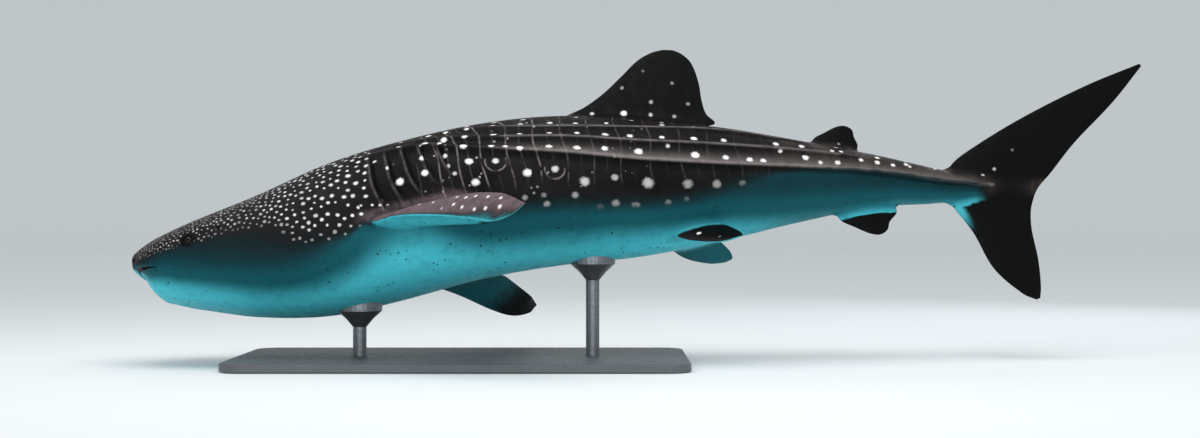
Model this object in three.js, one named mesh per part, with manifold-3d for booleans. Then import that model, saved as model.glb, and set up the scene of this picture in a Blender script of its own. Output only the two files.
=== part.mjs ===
import * as THREE from "three";
import { mergeVertices } from "three/addons/utils/BufferGeometryUtils.js";
import Module from "manifold-3d";

// A life-size whale shark on a display stand, in millimetres. It is shaped straight, with s running back
// from the snout, y to its right and z up from the lowest point of the belly. bend() then banks and sways
// it into the pose. The head ends up towards -X and the left side towards -Y.

const wasm = await Module();
wasm.setup();

const GAP = 0.3;
const BELLY_HEIGHT = 330;
const BANK = THREE.MathUtils.degToRad(14);
const HEAD_SWAY = -90;
const HEAD_SWAY_FROM = 1500;
const TAIL_SWAY = 280;
const TAIL_SWAY_FROM = 2400;
const TAIL_SWAY_SPAN = 3000;

// Sections of the body: distance from the snout, height of back and belly, half width.
const SECTIONS = [
  [0, 410, 118, 395],
  [200, 503, 95, 425],
  [430, 615, 54, 455],
  [830, 788, 1, 515],
  [1300, 1006, 9, 568],
  [1770, 1152, 108, 578],
  [2300, 1271, 244, 552],
  [2830, 1326, 331, 512],
  [3370, 1299, 388, 452],
  [3900, 1256, 488, 372],
  [4440, 1169, 618, 285],
  [4970, 1073, 723, 195],
  [5400, 983, 748, 122],
  [5700, 925, 790, 66],
  [5880, 890, 828, 14],
];
const BODY_END = 5880;

const SNOUT_START = 16;
const SNOUT_TIP_HEIGHT = 376;
const SNOUT_ROUND = 430;
const SNOUT_ROUND_POWER = 2.6;
const BROW_ROUND = 170;
const BROW_ROUND_POWER = 1.8;
const JAW_SETBACK = 62;
const MOUTH_HEIGHT = 250;
const MOUTH_CORNER = 215;
const LIP_STEP = 46;

// Ridges of the flank: the stretch each runs along, the height of its crest, and its angle from the
// midline of the back at distances from the snout.
const RIDGES = [
  {
    from: 1900,
    to: 4600,
    height: 15,
    angles: [[1250, 14], [1900, 25], [2400, 42], [2840, 49.5], [3400, 44], [3920, 37], [4700, 33]],
  },
  {
    from: 1650,
    to: 5000,
    height: 19,
    angles: [[1250, 26], [1800, 35], [2300, 54], [2840, 61.5], [3720, 63], [4120, 62], [5000, 54]],
  },
  {
    from: 1250,
    to: 6050,
    height: 26,
    angles: [[1250, 40], [1800, 48], [2320, 66], [2840, 76], [3690, 83], [4120, 85], [5880, 88]],
  },
];
const RIDGE_HALF_ANGLE = 5;
const KEEL_FROM = 4500;
const KEEL_PEAK = 5500;
const KEEL_EXTRA = 34;

// Free edges of the gill flaps: where they start, how far each leans back per degree down the side, more
// for the rear ones, and how they curve back below.
const GILL_COUNT = 5;
const GILL_FIRST = 1594;
const GILL_PITCH = 103;
const GILL_TOP_ANGLE = 44;
const GILL_LOW_ANGLE = 104;
const GILL_LEAN = 1.6;
const GILL_LEAN_MORE = 0.45;
const GILL_CURVE = 0.1;
const GILL_CURVE_FROM = 70;
const GILL_FLAP = 16;
const GILL_GROOVE = 24;
const FLAP_WIDTH = 26;

const EYE_S = 452;
const EYE_ANGLE = 78;
const EYE_RADIUS = 31;
const LID_TUBE = 10;
const SPIRACLE_BACK = 190;
const NOSTRIL_SIDE = 250;

const HEAD_END = 1545;
const JAW_END = 640;
const GILLS_END = 2075;
const TORSO_END = 3950;
const TRUNK_END = 5170;
const TAIL_END = 7200;
const LOBE_SPLIT = 640;

const ROD_RADIUS = 45;
const SADDLE_RADIUS = 150;
const SADDLE_HEIGHT = 120;
const ROD_FRONT_S = 1500;
const ROD_REAR_S = 3050;
const BASE_LENGTH = 3000;
const BASE_WIDTH = 1500;
const BASE_THICKNESS = 60;
const BASE_CORNER = 160;
const BASE_BEVEL = 12;
const BASE_CENTRE_S = 2180;

const clamp01 = (t) => Math.min(1, Math.max(0, t));
const smooth = (t) => clamp01(t) ** 2 * (3 - 2 * clamp01(t));
const radians = THREE.MathUtils.degToRad;

// A smooth curve through rows of numbers, read at x from the first column.
function readRows(rows, x, column) {
  const last = rows.length - 1;
  if (x <= rows[0][0]) return rows[0][column];
  if (x >= rows[last][0]) return rows[last][column];
  let i = 0;
  while (x > rows[i + 1][0]) i += 1;
  const slope = (a, b) => (rows[b][column] - rows[a][column]) / (rows[b][0] - rows[a][0]);
  const span = rows[i + 1][0] - rows[i][0];
  const startSlope = slope(Math.max(i - 1, 0), i + 1) * span;
  const endSlope = slope(i, Math.min(i + 2, last)) * span;
  const t = (x - rows[i][0]) / span;
  const a = rows[i][column];
  const b = rows[i + 1][column];
  return (
    a * (2 * t ** 3 - 3 * t ** 2 + 1) +
    startSlope * (t ** 3 - 2 * t ** 2 + t) +
    b * (3 * t ** 2 - 2 * t ** 3) +
    endSlope * (t ** 3 - t ** 2)
  );
}

const centreHeight = (s) => (readRows(SECTIONS, s, 1) + readRows(SECTIONS, s, 2)) / 2;

function sway(s) {
  const head = s < HEAD_SWAY_FROM ? HEAD_SWAY * ((HEAD_SWAY_FROM - s) / HEAD_SWAY_FROM) ** 2 : 0;
  const tail = s > TAIL_SWAY_FROM ? TAIL_SWAY * ((s - TAIL_SWAY_FROM) / TAIL_SWAY_SPAN) ** 2 : 0;
  return head + tail;
}

// The pose: each slice turns by the bank about its own centre and moves sideways by the sway.
function bend([s, y, z]) {
  const middle = centreHeight(s);
  return [
    s,
    sway(s) + y * Math.cos(BANK) + (z - middle) * Math.sin(BANK),
    BELLY_HEIGHT + middle + (z - middle) * Math.cos(BANK) - y * Math.sin(BANK),
  ];
}

// How far a rounded end has opened, 0 at its tip to 1 where the rounding is over.
const opening = (s, length, power) => (1 - (1 - clamp01(s / length)) ** power) ** (1 / power);

const ridgeAngle = (ridge, s) => readRows(ridge.angles, s, 1);

function ridgeHeight(ridge, s) {
  const grown = smooth((s - ridge.from) / 700) * smooth((ridge.to - s) / 500);
  const isKeel = ridge === RIDGES[2];
  const keel = isKeel ? KEEL_EXTRA * smooth((s - KEEL_FROM) / (KEEL_PEAK - KEEL_FROM)) : 0;
  return (ridge.height + keel) * grown;
}

const gillCentre = (k) => GILL_FIRST + k * GILL_PITCH;
const gillLowAngle = (k) => GILL_LOW_ANGLE - 5 * k;

// How far back of its upper end the edge of gill k lies at an angle. Between two gills k is a fraction.
function gillBack(k, angle) {
  const down = Math.min(Math.max(angle, GILL_TOP_ANGLE), gillLowAngle(k) + 4);
  const lean = (GILL_LEAN + GILL_LEAN_MORE * k) * (down - GILL_TOP_ANGLE);
  return lean + GILL_CURVE * Math.max(down - GILL_CURVE_FROM, 0) ** 2;
}

// Raised free edge in front of each gill slit, and the slit behind it.
function gillRelief(s, angle) {
  let relief = 0;
  for (let k = 0; k < GILL_COUNT; k++) {
    const along = smooth((angle - GILL_TOP_ANGLE) / 12) * smooth((gillLowAngle(k) - angle) / 12);
    const back = s - gillCentre(k) - gillBack(k, angle);
    if (back <= 0 && back > -GILL_PITCH) relief += GILL_FLAP * along * (1 + back / GILL_PITCH);
    if (back > 0 && back < FLAP_WIDTH) relief -= GILL_GROOVE * along * (1 - back / FLAP_WIDTH);
  }
  return relief;
}

function relief(s, angle) {
  let sum = gillRelief(s, angle);
  for (const ridge of RIDGES) {
    const off = Math.abs(angle - ridgeAngle(ridge, s)) / RIDGE_HALF_ANGLE;
    sum += ridgeHeight(ridge, s) * smooth(1 - off);
  }
  return sum;
}

// Point of the straight body at distance s and angle from the midline of the back, side -1 left, 1 right.
function skinPoint(s, angle, side, grow = 0) {
  const wide = opening(s - SNOUT_START, SNOUT_ROUND, SNOUT_ROUND_POWER);
  const tall = opening(s - SNOUT_START, BROW_ROUND, BROW_ROUND_POWER);
  const top = SNOUT_TIP_HEIGHT + (readRows(SECTIONS, s, 1) - SNOUT_TIP_HEIGHT) * tall;
  const low = SNOUT_TIP_HEIGHT + (readRows(SECTIONS, s, 2) - SNOUT_TIP_HEIGHT) * tall;
  const half = readRows(SECTIONS, s, 3) * wide;
  const lowFullness = 2.5 - 0.5 * smooth((s - 1200) / 1800);
  const fullness = angle > 90 ? lowFullness : 2.05;
  const bump = relief(s, angle) * smooth(s / BROW_ROUND) + grow;
  const across = Math.sin(radians(angle)) ** (2 / fullness);
  const up = Math.cos(radians(angle));
  const rise = Math.sign(up) * Math.abs(up) ** (2 / fullness);
  const y = side * (half + bump) * across;
  const z = (top + low) / 2 + ((top - low) / 2 + bump) * rise;
  const below = smooth((MOUTH_HEIGHT + LIP_STEP / 2 - z) / LIP_STEP);
  const setback = JAW_SETBACK * below * (1 - smooth(s / SNOUT_ROUND));
  return [s + setback, y, z];
}

// Angles of one side's points at distance s, closer together at each ridge.
function ringAngles(s) {
  const angles = [0];
  for (const ridge of RIDGES) {
    const at = ridgeAngle(ridge, s);
    const before = angles[angles.length - 1];
    angles.push((before + at - RIDGE_HALF_ANGLE) / 2, at - RIDGE_HALF_ANGLE, at, at + RIDGE_HALF_ANGLE);
  }
  const lowest = angles[angles.length - 1];
  const steps = 10;
  for (let i = 1; i <= steps; i++) angles.push(lowest + ((180 - lowest) * i) / steps);
  return angles;
}

function ringDistances() {
  const list = [];
  const snoutRings = 10;
  for (let i = 1; i <= snoutRings; i++) {
    list.push(SNOUT_START + BROW_ROUND * (1 - Math.cos((Math.PI * i) / (2 * snoutRings))));
  }
  for (let s = 210; s < GILL_FIRST - GILL_PITCH; s += 105) list.push(s);
  for (let k = 0; k < GILL_COUNT; k++) {
    const at = gillCentre(k);
    list.push(at - GILL_PITCH + FLAP_WIDTH + 2, at - 2, at + 4);
  }
  for (let s = gillCentre(GILL_COUNT - 1) + 60; s < BODY_END - 60; s += 135) list.push(s);
  list.push(BODY_END);
  return list;
}

// Rings lean back with the gill slits and stand upright away from them.
function slanted(s, angle) {
  const front = smooth((s - GILL_FIRST + 340) / 300);
  const rear = smooth((gillCentre(GILL_COUNT - 1) + 640 - s) / 600);
  const k = clamp01((s - GILL_FIRST) / (GILL_PITCH * (GILL_COUNT - 1))) * (GILL_COUNT - 1);
  return s + gillBack(k, angle) * front * rear;
}

// Closed loft over rings of points, with both ends fanned to a middle point.
function loft(rings, startPoint, endPoint) {
  const positions = [startPoint, ...rings.flat(), endPoint].flat();
  const count = rings[0].length;
  const index = [];
  const at = (r, i) => 1 + r * count + (i % count);
  const endIndex = 1 + rings.length * count;
  for (let i = 0; i < count; i++) {
    index.push(0, at(0, i), at(0, i + 1));
    index.push(endIndex, at(rings.length - 1, i + 1), at(rings.length - 1, i));
  }
  for (let r = 0; r + 1 < rings.length; r++) {
    for (let i = 0; i < count; i++) {
      index.push(at(r, i), at(r + 1, i), at(r + 1, i + 1));
      index.push(at(r, i), at(r + 1, i + 1), at(r, i + 1));
    }
  }
  const geometry = new THREE.BufferGeometry();
  geometry.setAttribute("position", new THREE.Float32BufferAttribute(positions, 3));
  geometry.setIndex(index);
  return geometry;
}

function solidOf(geometry) {
  const bare = geometry.clone();
  bare.deleteAttribute("normal");
  bare.deleteAttribute("uv");
  const merged = mergeVertices(bare, 1e-3);
  const solid = new wasm.Manifold(
    new wasm.Mesh({
      numProp: 3,
      vertProperties: new Float32Array(merged.attributes.position.array),
      triVerts: new Uint32Array(merged.index.array),
    }),
  );
  return solid.volume() < 0 ? turnedRound(merged) : solid;
}

function turnedRound(geometry) {
  const triVerts = new Uint32Array(geometry.index.array);
  for (let i = 0; i < triVerts.length; i += 3) {
    [triVerts[i + 1], triVerts[i + 2]] = [triVerts[i + 2], triVerts[i + 1]];
  }
  const vertProperties = new Float32Array(geometry.attributes.position.array);
  return new wasm.Manifold(new wasm.Mesh({ numProp: 3, vertProperties, triVerts }));
}

function bent(geometry) {
  const position = geometry.attributes.position;
  for (let i = 0; i < position.count; i++) {
    position.setXYZ(i, ...bend([position.getX(i), position.getY(i), position.getZ(i)]));
  }
  return geometry;
}

function largest(solid) {
  return solid.decompose().sort((a, b) => b.volume() - a.volume())[0];
}

function bodySolid(grow = 0) {
  const rings = ringDistances().map((s) => {
    const angles = ringAngles(s);
    const right = angles.map((angle) => skinPoint(slanted(s, angle), angle, 1, grow));
    const left = angles.slice(1, -1).reverse().map((angle) => skinPoint(slanted(s, angle), angle, -1, grow));
    return [...right, ...left];
  });
  const endHeight = centreHeight(BODY_END);
  const geometry = loft(rings, [SNOUT_START - grow, 0, SNOUT_TIP_HEIGHT], [BODY_END + 4 + grow, 0, endHeight]);
  return solidOf(bent(geometry));
}

// A slab of the straight body's space, wide enough to reach past every fin, cut fine enough to bend.
function slab(fromS, toS, lowZ, highZ) {
  const width = 4000;
  const geometry = new THREE.BoxGeometry(toS - fromS, width, highZ - lowZ, 12, 1, 1);
  geometry.translate((fromS + toS) / 2, 0, (lowZ + highZ) / 2);
  return solidOf(bent(geometry));
}

// Fin profile: thickness share at chord share c, round in front and thin behind.
const foil = (c) => 2.6 * (Math.sqrt(c) * (1 - c) * 0.74 + 0.055 * Math.sin(Math.PI * c));

// A fin from rows of [share of span, leading point, trailing point, thickness], thick along normal and
// arched up by camber at mid chord and mid span.
function finSolid({ rows, normal, camber = 0, chordSteps = 9, spanSteps = 12, edge = 5 }) {
  const read = (v, part, axis) => readRows(rows.map((row) => [row[0], row[part][axis]]), v, 1);
  const thick = (v) => readRows(rows.map((row) => [row[0], row[3]]), v, 1);
  const rings = [];
  for (let j = 0; j <= spanSteps; j++) {
    const v = 1 - (1 - j / spanSteps) ** 1.25;
    const lead = [0, 1, 2].map((axis) => read(v, 1, axis));
    const trail = [0, 1, 2].map((axis) => read(v, 2, axis));
    const face = (sign) => (i) => {
      const c = (1 - Math.cos((Math.PI * i) / chordSteps)) / 2;
      const half = (sign * (thick(v) * foil(c) + edge * Math.sin(Math.PI * Math.min(c + 0.02, 0.98)) ** 0.5)) / 2;
      const rise = half + camber * Math.sin(Math.PI * v) * 4 * c * (1 - c);
      return [0, 1, 2].map((axis) => lead[axis] + (trail[axis] - lead[axis]) * c + normal[axis] * rise);
    };
    const upper = Array.from({ length: chordSteps + 1 }, (_, i) => face(1)(i));
    const lower = Array.from({ length: chordSteps + 1 }, (_, i) => face(-1)(i)).reverse();
    rings.push([...upper, ...lower]);
  }
  const middleOf = (ring) => [0, 1, 2].map((axis) => ring.reduce((sum, p) => sum + p[axis], 0) / ring.length);
  return solidOf(bent(loft(rings, middleOf(rings[0]), middleOf(rings[rings.length - 1]))));
}

const DORSAL_1 = {
  normal: [0, 1, 0],
  spanSteps: 14,
  rows: [
    [0, [2700, 0, 1120], [3600, 0, 1120], 150],
    [0.2, [2790, 0, 1318], [3770, 0, 1262], 124],
    [0.27, [2880, 0, 1358], [3880, 0, 1300], 110],
    [0.35, [2985, 0, 1408], [3822, 0, 1362], 94],
    [0.52, [3120, 0, 1510], [3790, 0, 1460], 70],
    [0.72, [3250, 0, 1640], [3768, 0, 1600], 50],
    [0.88, [3355, 0, 1748], [3718, 0, 1735], 34],
    [0.97, [3450, 0, 1805], [3650, 0, 1800], 20],
    [1, [3520, 0, 1824], [3600, 0, 1822], 8],
  ],
};
const DORSAL_2 = {
  normal: [0, 1, 0],
  rows: [
    [0, [4470, 0, 1040], [4790, 0, 1020], 70],
    [0.4, [4535, 0, 1182], [4858, 0, 1128], 50],
    [0.75, [4640, 0, 1246], [4830, 0, 1214], 26],
    [0.9, [4692, 0, 1274], [4824, 0, 1250], 18],
    [0.97, [4726, 0, 1286], [4808, 0, 1272], 10],
    [1, [4752, 0, 1289], [4784, 0, 1284], 6],
  ],
};
const ANAL = {
  normal: [0, 1, 0],
  rows: [
    [0, [4660, 0, 790], [5010, 0, 840], 70],
    [0.4, [4700, 0, 640], [5118, 0, 706], 46],
    [0.75, [4838, 0, 566], [5058, 0, 612], 26],
    [0.9, [4905, 0, 537], [5046, 0, 568], 18],
    [0.97, [4946, 0, 526], [5028, 0, 544], 10],
    [1, [4974, 0, 523], [5006, 0, 530], 6],
  ],
};
const CAUDAL = {
  normal: [0, 1, 0],
  spanSteps: 24,
  rows: [
    [0, [6070, 0, 69], [6098, 0, 80], 8],
    [0.06, [5975, 0, 110], [6108, 0, 160], 22],
    [0.2, [5775, 0, 290], [6100, 0, 350], 40],
    [0.33, [5640, 0, 545], [6066, 0, 560], 60],
    [0.42, [5500, 0, 735], [6066, 0, 680], 84],
    [0.5, [5440, 0, 865], [6085, 0, 760], 92],
    [0.57, [5505, 0, 1012], [6125, 0, 850], 84],
    [0.67, [5700, 0, 1160], [6230, 0, 965], 64],
    [0.8, [6090, 0, 1388], [6430, 0, 1195], 46],
    [0.92, [6560, 0, 1618], [6740, 0, 1495], 28],
    [1, [6960, 0, 1780], [6975, 0, 1762], 8],
  ],
};
// The left pectoral fin is arched up and the right one is held lower.
const pectoral = (side) => {
  const drop = side > 0 ? 80 : 0;
  return {
    normal: [0, side * 0.12, 1],
    camber: 34,
    chordSteps: 10,
    spanSteps: 15,
    rows: [
      [0, [1440, side * 300, 520], [2110, side * 300, 640], 124],
      [0.12, [1560, side * 500, 508 - 0.2 * drop], [2260, side * 480, 628 - 0.2 * drop], 110],
      [0.25, [1665, side * 625, 468 - 0.5 * drop], [2385, side * 635, 448 - 0.4 * drop], 98],
      [0.4, [1822, side * 800, 461 - 0.9 * drop], [2400, side * 830, 488 - 0.7 * drop], 92],
      [0.57, [2071, side * 1000, 415 - drop], [2420, side * 1010, 528 - 0.8 * drop], 74],
      [0.76, [2319, side * 1220, 340 - drop], [2510, side * 1250, 485 - 0.6 * drop], 52],
      [0.88, [2463, side * 1340, 290 - 0.6 * drop], [2590, side * 1375, 425 - 0.4 * drop], 36],
      [0.96, [2581, side * 1440, 300 - 0.2 * drop], [2640 - 0.4 * drop, side * 1455, 380], 20],
      [1, [2655 - 0.5 * drop, side * 1505, 340], [2668 - 0.5 * drop, side * 1508, 355], 8],
    ],
  };
};
const pelvic = (side) => {
  const lift = side > 0 ? 55 : 0;
  return {
    normal: [0, side * 0.6, 1],
    rows: [
      [0, [3480, side * 110, 520], [3820, side * 100, 570], 66],
      [0.3, [3570, side * 215, 470 + 0.2 * lift], [3900, side * 220, 545], 50],
      [0.7, [3700, side * 350, 400 + 0.7 * lift], [3990, side * 360, 470 + 0.5 * lift], 32],
      [0.93, [3860, side * 440, 372 + lift], [4015, side * 440, 425 + 0.8 * lift], 16],
      [1, [3950, side * 470, 385 + lift], [4010, side * 472, 408 + lift], 6],
    ],
  };
};

function eyePoint(side) {
  return skinPoint(EYE_S, EYE_ANGLE, side);
}

function ball(centre, radii, turnY = 0) {
  const geometry = new THREE.SphereGeometry(1, 14, 10);
  geometry.scale(...radii);
  geometry.rotateY(turnY);
  geometry.translate(...centre);
  return geometry;
}

function eyeGeometry(side, radius) {
  const [s, y, z] = eyePoint(side);
  return bent(ball([s, y - side * 9, z], [radius, radius * 0.82, radius]));
}

function lidSolid(side) {
  const [s, y, z] = eyePoint(side);
  const geometry = new THREE.TorusGeometry(EYE_RADIUS + 3, LID_TUBE, 6, 18);
  geometry.rotateX(Math.PI / 2);
  geometry.rotateZ(side * -0.06);
  geometry.translate(s, y - side * 1, z);
  return solidOf(bent(geometry));
}

// The gape: a thin crescent between upper and lower lip, sunk into the front of the head.
function mouthSolid() {
  const depth = 75;
  const halfHeight = 9;
  const rows = 24;
  const outer = [];
  const inner = [];
  for (let i = 0; i <= rows; i++) {
    const turn = Math.PI * (i / rows - 0.5);
    const reach = Math.abs(Math.sin(turn));
    const point = (inset) => {
      const y = (430 - inset) * Math.sign(turn) * reach ** 0.8;
      const s = MOUTH_CORNER - (MOUTH_CORNER + 20 - inset) * Math.cos(turn) ** 0.7;
      return new THREE.Vector2(s, y);
    };
    outer.push(point(-60));
    inner.push(point(depth));
  }
  const shape = new THREE.Shape([...outer, ...inner.reverse()]);
  const geometry = new THREE.ExtrudeGeometry(shape, { depth: 2 * halfHeight, bevelEnabled: false });
  geometry.translate(0, 0, MOUTH_HEIGHT - halfHeight);
  return solidOf(bent(geometry));
}

function nostrilSolid(side) {
  const geometry = ball([34, side * NOSTRIL_SIDE, MOUTH_HEIGHT + 62], [60, 46, 15]);
  return solidOf(bent(geometry));
}

function spiracleSolid(side) {
  const [s, y, z] = skinPoint(EYE_S + SPIRACLE_BACK, EYE_ANGLE - 6, side);
  return solidOf(bent(ball([s, y, z], [20, 16, 26])));
}

function rodSolid(s, grownBody) {
  const y = sway(s) - 40;
  const topHeight = BELLY_HEIGHT + centreHeight(s);
  const rod = new THREE.CylinderGeometry(ROD_RADIUS, ROD_RADIUS, topHeight - BASE_THICKNESS - GAP, 28);
  rod.rotateX(Math.PI / 2);
  rod.translate(s, y, (topHeight + BASE_THICKNESS + GAP) / 2);
  const contact = BELLY_HEIGHT + readRows(SECTIONS, s, 2);
  const profile = [
    [0, contact - SADDLE_HEIGHT],
    [ROD_RADIUS, contact - SADDLE_HEIGHT],
    [SADDLE_RADIUS * 0.6, contact - SADDLE_HEIGHT * 0.55],
    [SADDLE_RADIUS, contact - 12],
    [SADDLE_RADIUS, contact + 110],
    [0, contact + 110],
  ].map(([radius, height]) => new THREE.Vector2(radius, height));
  const saddle = new THREE.LatheGeometry(profile, 28);
  saddle.rotateX(Math.PI / 2);
  saddle.translate(s, y, 0);
  return lowest(solidOf(rod).add(solidOf(saddle)).subtract(grownBody));
}

function lowest(solid) {
  return solid.decompose().sort((a, b) => a.boundingBox().min[2] - b.boundingBox().min[2])[0];
}

function baseSolid() {
  const x = BASE_LENGTH / 2 - BASE_CORNER;
  const y = BASE_WIDTH / 2 - BASE_CORNER;
  const shape = new THREE.Shape();
  shape.absarc(x, y, BASE_CORNER - BASE_BEVEL, 0, Math.PI / 2);
  shape.absarc(-x, y, BASE_CORNER - BASE_BEVEL, Math.PI / 2, Math.PI);
  shape.absarc(-x, -y, BASE_CORNER - BASE_BEVEL, Math.PI, 1.5 * Math.PI);
  shape.absarc(x, -y, BASE_CORNER - BASE_BEVEL, 1.5 * Math.PI, 2 * Math.PI);
  const geometry = new THREE.ExtrudeGeometry(shape, {
    depth: BASE_THICKNESS - 2 * BASE_BEVEL,
    bevelThickness: BASE_BEVEL,
    bevelSize: BASE_BEVEL,
    bevelSegments: 2,
    curveSegments: 8,
  });
  geometry.translate(BASE_CENTRE_S, sway(BASE_CENTRE_S), BASE_BEVEL);
  return solidOf(geometry);
}

const MATERIALS = {
  skin: { color: 0x3a3b3c, roughness: 0.62, metalness: 0 },
  belly: { color: 0x9fb9bb, roughness: 0.6, metalness: 0 },
  fin: { color: 0x232527, roughness: 0.6, metalness: 0 },
  eye: { color: 0x0b0c0e, roughness: 0.12, metalness: 0 },
  stand: { color: 0x5d6064, roughness: 0.5, metalness: 0.1 },
};

function meshOf(name, solid, look) {
  const { vertProperties, triVerts } = solid.getMesh();
  const geometry = new THREE.BufferGeometry();
  geometry.setAttribute("position", new THREE.BufferAttribute(new Float32Array(vertProperties), 3));
  geometry.setIndex(new THREE.BufferAttribute(new Uint32Array(triVerts), 1));
  geometry.computeVertexNormals();
  const mesh = new THREE.Mesh(geometry, new THREE.MeshStandardMaterial(MATERIALS[look]));
  mesh.name = name;
  return mesh;
}

function headWithFeatures(body) {
  let head = body;
  for (const side of [-1, 1]) {
    head = head.add(lidSolid(side));
    head = head.subtract(solidOf(eyeGeometry(side, EYE_RADIUS + GAP)));
    head = head.subtract(nostrilSolid(side)).subtract(spiracleSolid(side));
  }
  return head.subtract(mouthSolid());
}

function build() {
  const root = new THREE.Group();
  const body = headWithFeatures(bodySolid());
  const grownBody = bodySolid(GAP);
  const add = (name, solid, look) => root.add(meshOf(name, solid, look));
  const cut = (fromS, toS) => body.intersect(slab(fromS, toS - GAP, -500, 2500));
  const front = cut(-500, HEAD_END);
  const jawSpace = slab(-500, JAW_END, -500, MOUTH_HEIGHT);
  const jawSpaceGrown = slab(-500, JAW_END + GAP, -500, MOUTH_HEIGHT + GAP);
  add("head", largest(front.subtract(jawSpaceGrown)), "skin");
  add("lower_jaw", largest(front.intersect(jawSpace)), "belly");
  add("gill_section", largest(cut(HEAD_END, GILLS_END)), "skin");
  add("torso", largest(cut(GILLS_END, TORSO_END)), "skin");
  add("rear_trunk", largest(cut(TORSO_END, TRUNK_END)), "skin");
  add("tail_stem", largest(cut(TRUNK_END, TAIL_END)), "skin");
  const fin = (name, form) => add(name, largest(finSolid(form).subtract(grownBody)), "fin");
  fin("dorsal_fin_first", DORSAL_1);
  fin("dorsal_fin_second", DORSAL_2);
  fin("anal_fin", ANAL);
  const caudal = finSolid(CAUDAL).subtract(grownBody);
  const above = slab(TRUNK_END, TAIL_END, LOBE_SPLIT, 2500);
  const below = slab(TRUNK_END, TAIL_END, -500, LOBE_SPLIT - GAP);
  add("caudal_lobe_upper", largest(caudal.intersect(above)), "fin");
  add("caudal_lobe_lower", largest(caudal.intersect(below)), "fin");
  for (const [label, side] of [["left", -1], ["right", 1]]) {
    fin(`pectoral_fin_${label}`, pectoral(side));
    fin(`pelvic_fin_${label}`, pelvic(side));
    add(`eye_${label}`, solidOf(eyeGeometry(side, EYE_RADIUS)), "eye");
  }
  add("stand_base", baseSolid(), "stand");
  add("stand_rod_front", rodSolid(ROD_FRONT_S, grownBody), "stand");
  add("stand_rod_rear", rodSolid(ROD_REAR_S, grownBody), "stand");
  return root;
}

// The finished box is centred over the origin, with the base's underside at z = 0.
function centred(root) {
  const box = new THREE.Box3().setFromObject(root);
  root.position.x = -(box.min.x + box.max.x) / 2;
  root.position.y = -(box.min.y + box.max.y) / 2;
  return root;
}

export default centred(build());
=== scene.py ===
import math

import bpy
import numpy as np
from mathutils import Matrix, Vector


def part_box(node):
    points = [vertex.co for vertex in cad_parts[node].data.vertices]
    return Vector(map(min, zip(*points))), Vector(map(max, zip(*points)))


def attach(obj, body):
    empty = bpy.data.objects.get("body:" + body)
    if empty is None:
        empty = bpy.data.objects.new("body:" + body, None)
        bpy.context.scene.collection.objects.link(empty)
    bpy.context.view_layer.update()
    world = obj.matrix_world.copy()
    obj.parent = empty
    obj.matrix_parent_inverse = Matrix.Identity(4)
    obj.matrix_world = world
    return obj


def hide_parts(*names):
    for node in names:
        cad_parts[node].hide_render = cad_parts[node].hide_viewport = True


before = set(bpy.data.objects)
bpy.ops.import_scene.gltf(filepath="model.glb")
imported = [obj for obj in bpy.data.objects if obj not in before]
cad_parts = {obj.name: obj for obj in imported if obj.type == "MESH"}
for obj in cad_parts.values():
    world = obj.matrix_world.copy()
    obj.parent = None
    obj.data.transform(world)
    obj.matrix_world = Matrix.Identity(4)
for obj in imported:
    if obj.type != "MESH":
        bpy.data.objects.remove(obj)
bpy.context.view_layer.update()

# A life-size whale shark on a display stand. The skin is worked out on a straight body (s back from the
# snout, y to its right, z up from the lowest point of the belly, metres) and then bent into the pose.
print("frame loaded")

pose = {
    "snoutX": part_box("head")[0].x - .016,
    "middleY": (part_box("stand_base")[0].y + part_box("stand_base")[1].y) / 2,
    "lift": .33,               # belly over the floor
    "bank": math.radians(14),
    "headSway": -.09, "headFrom": 1.5,
    "tailSway": .28, "tailFrom": 2.4, "tailSpan": 3.0,
}

body = {
    # s, back, belly, half width
    "sections": [
        [0, .410, .118, .395], [.2, .503, .095, .425], [.43, .615, .054, .455], [.83, .788, .001, .515],
        [1.3, 1.006, .009, .568], [1.77, 1.152, .108, .578], [2.3, 1.271, .244, .552],
        [2.83, 1.326, .331, .512], [3.37, 1.299, .388, .452], [3.9, 1.256, .488, .372],
        [4.44, 1.169, .618, .285], [4.97, 1.073, .723, .195], [5.4, .983, .748, .122],
        [5.7, .925, .790, .066], [5.88, .890, .828, .014]],
    "start": .016, "end": 5.88, "tipHeight": .376,
    "snoutRound": .43, "snoutPower": 2.6, "browRound": .17, "browPower": 1.8,
    "fullAbove": 2.05, "fullBelow": 2.5, "fullLoss": .5, "fullFrom": 1.2, "fullSpan": 1.8,
    "jawSetback": .062, "mouthHeight": .25, "lipStep": .046,
    # height and stretch of each ridge, and its angle from the midline of the back along s
    "ridges": [[.015, 1.9, 4.6], [.019, 1.65, 5.0], [.026, 1.25, 6.05]],
    "ridgeAngles": [
        [[1.25, 14], [1.9, 25], [2.4, 42], [2.84, 49.5], [3.4, 44], [3.92, 37], [4.7, 33]],
        [[1.25, 26], [1.8, 35], [2.3, 54], [2.84, 61.5], [3.72, 63], [4.12, 62], [5.0, 54]],
        [[1.25, 40], [1.8, 48], [2.32, 66], [2.84, 76], [3.69, 83], [4.12, 85], [5.88, 88]]],
    # degrees of slope above and below a crest, power of the slope above, and the trough under the crest:
    # share of the height, place and half width in degrees
    "ridgeAbove": 7.0, "ridgeBelow": 3.8, "ridgeHollow": 1.4, "trough": (.22, 6.2, 2.6),
    "ridgeGrow": .7, "ridgeFade": .5, "keelFrom": 4.5, "keelPeak": 5.5, "keelExtra": .034,
}

gills = {
    "count": 5, "first": 1.594, "pitch": .103, "top": 44, "low": 104, "lowStep": 5, "ends": 12,
    "lean": .0016, "leanMore": .00045, "curve": .0001, "curveFrom": 70,
    "flap": .016, "flapPower": 1.3, "groove": .014, "width": .026,
}

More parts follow.
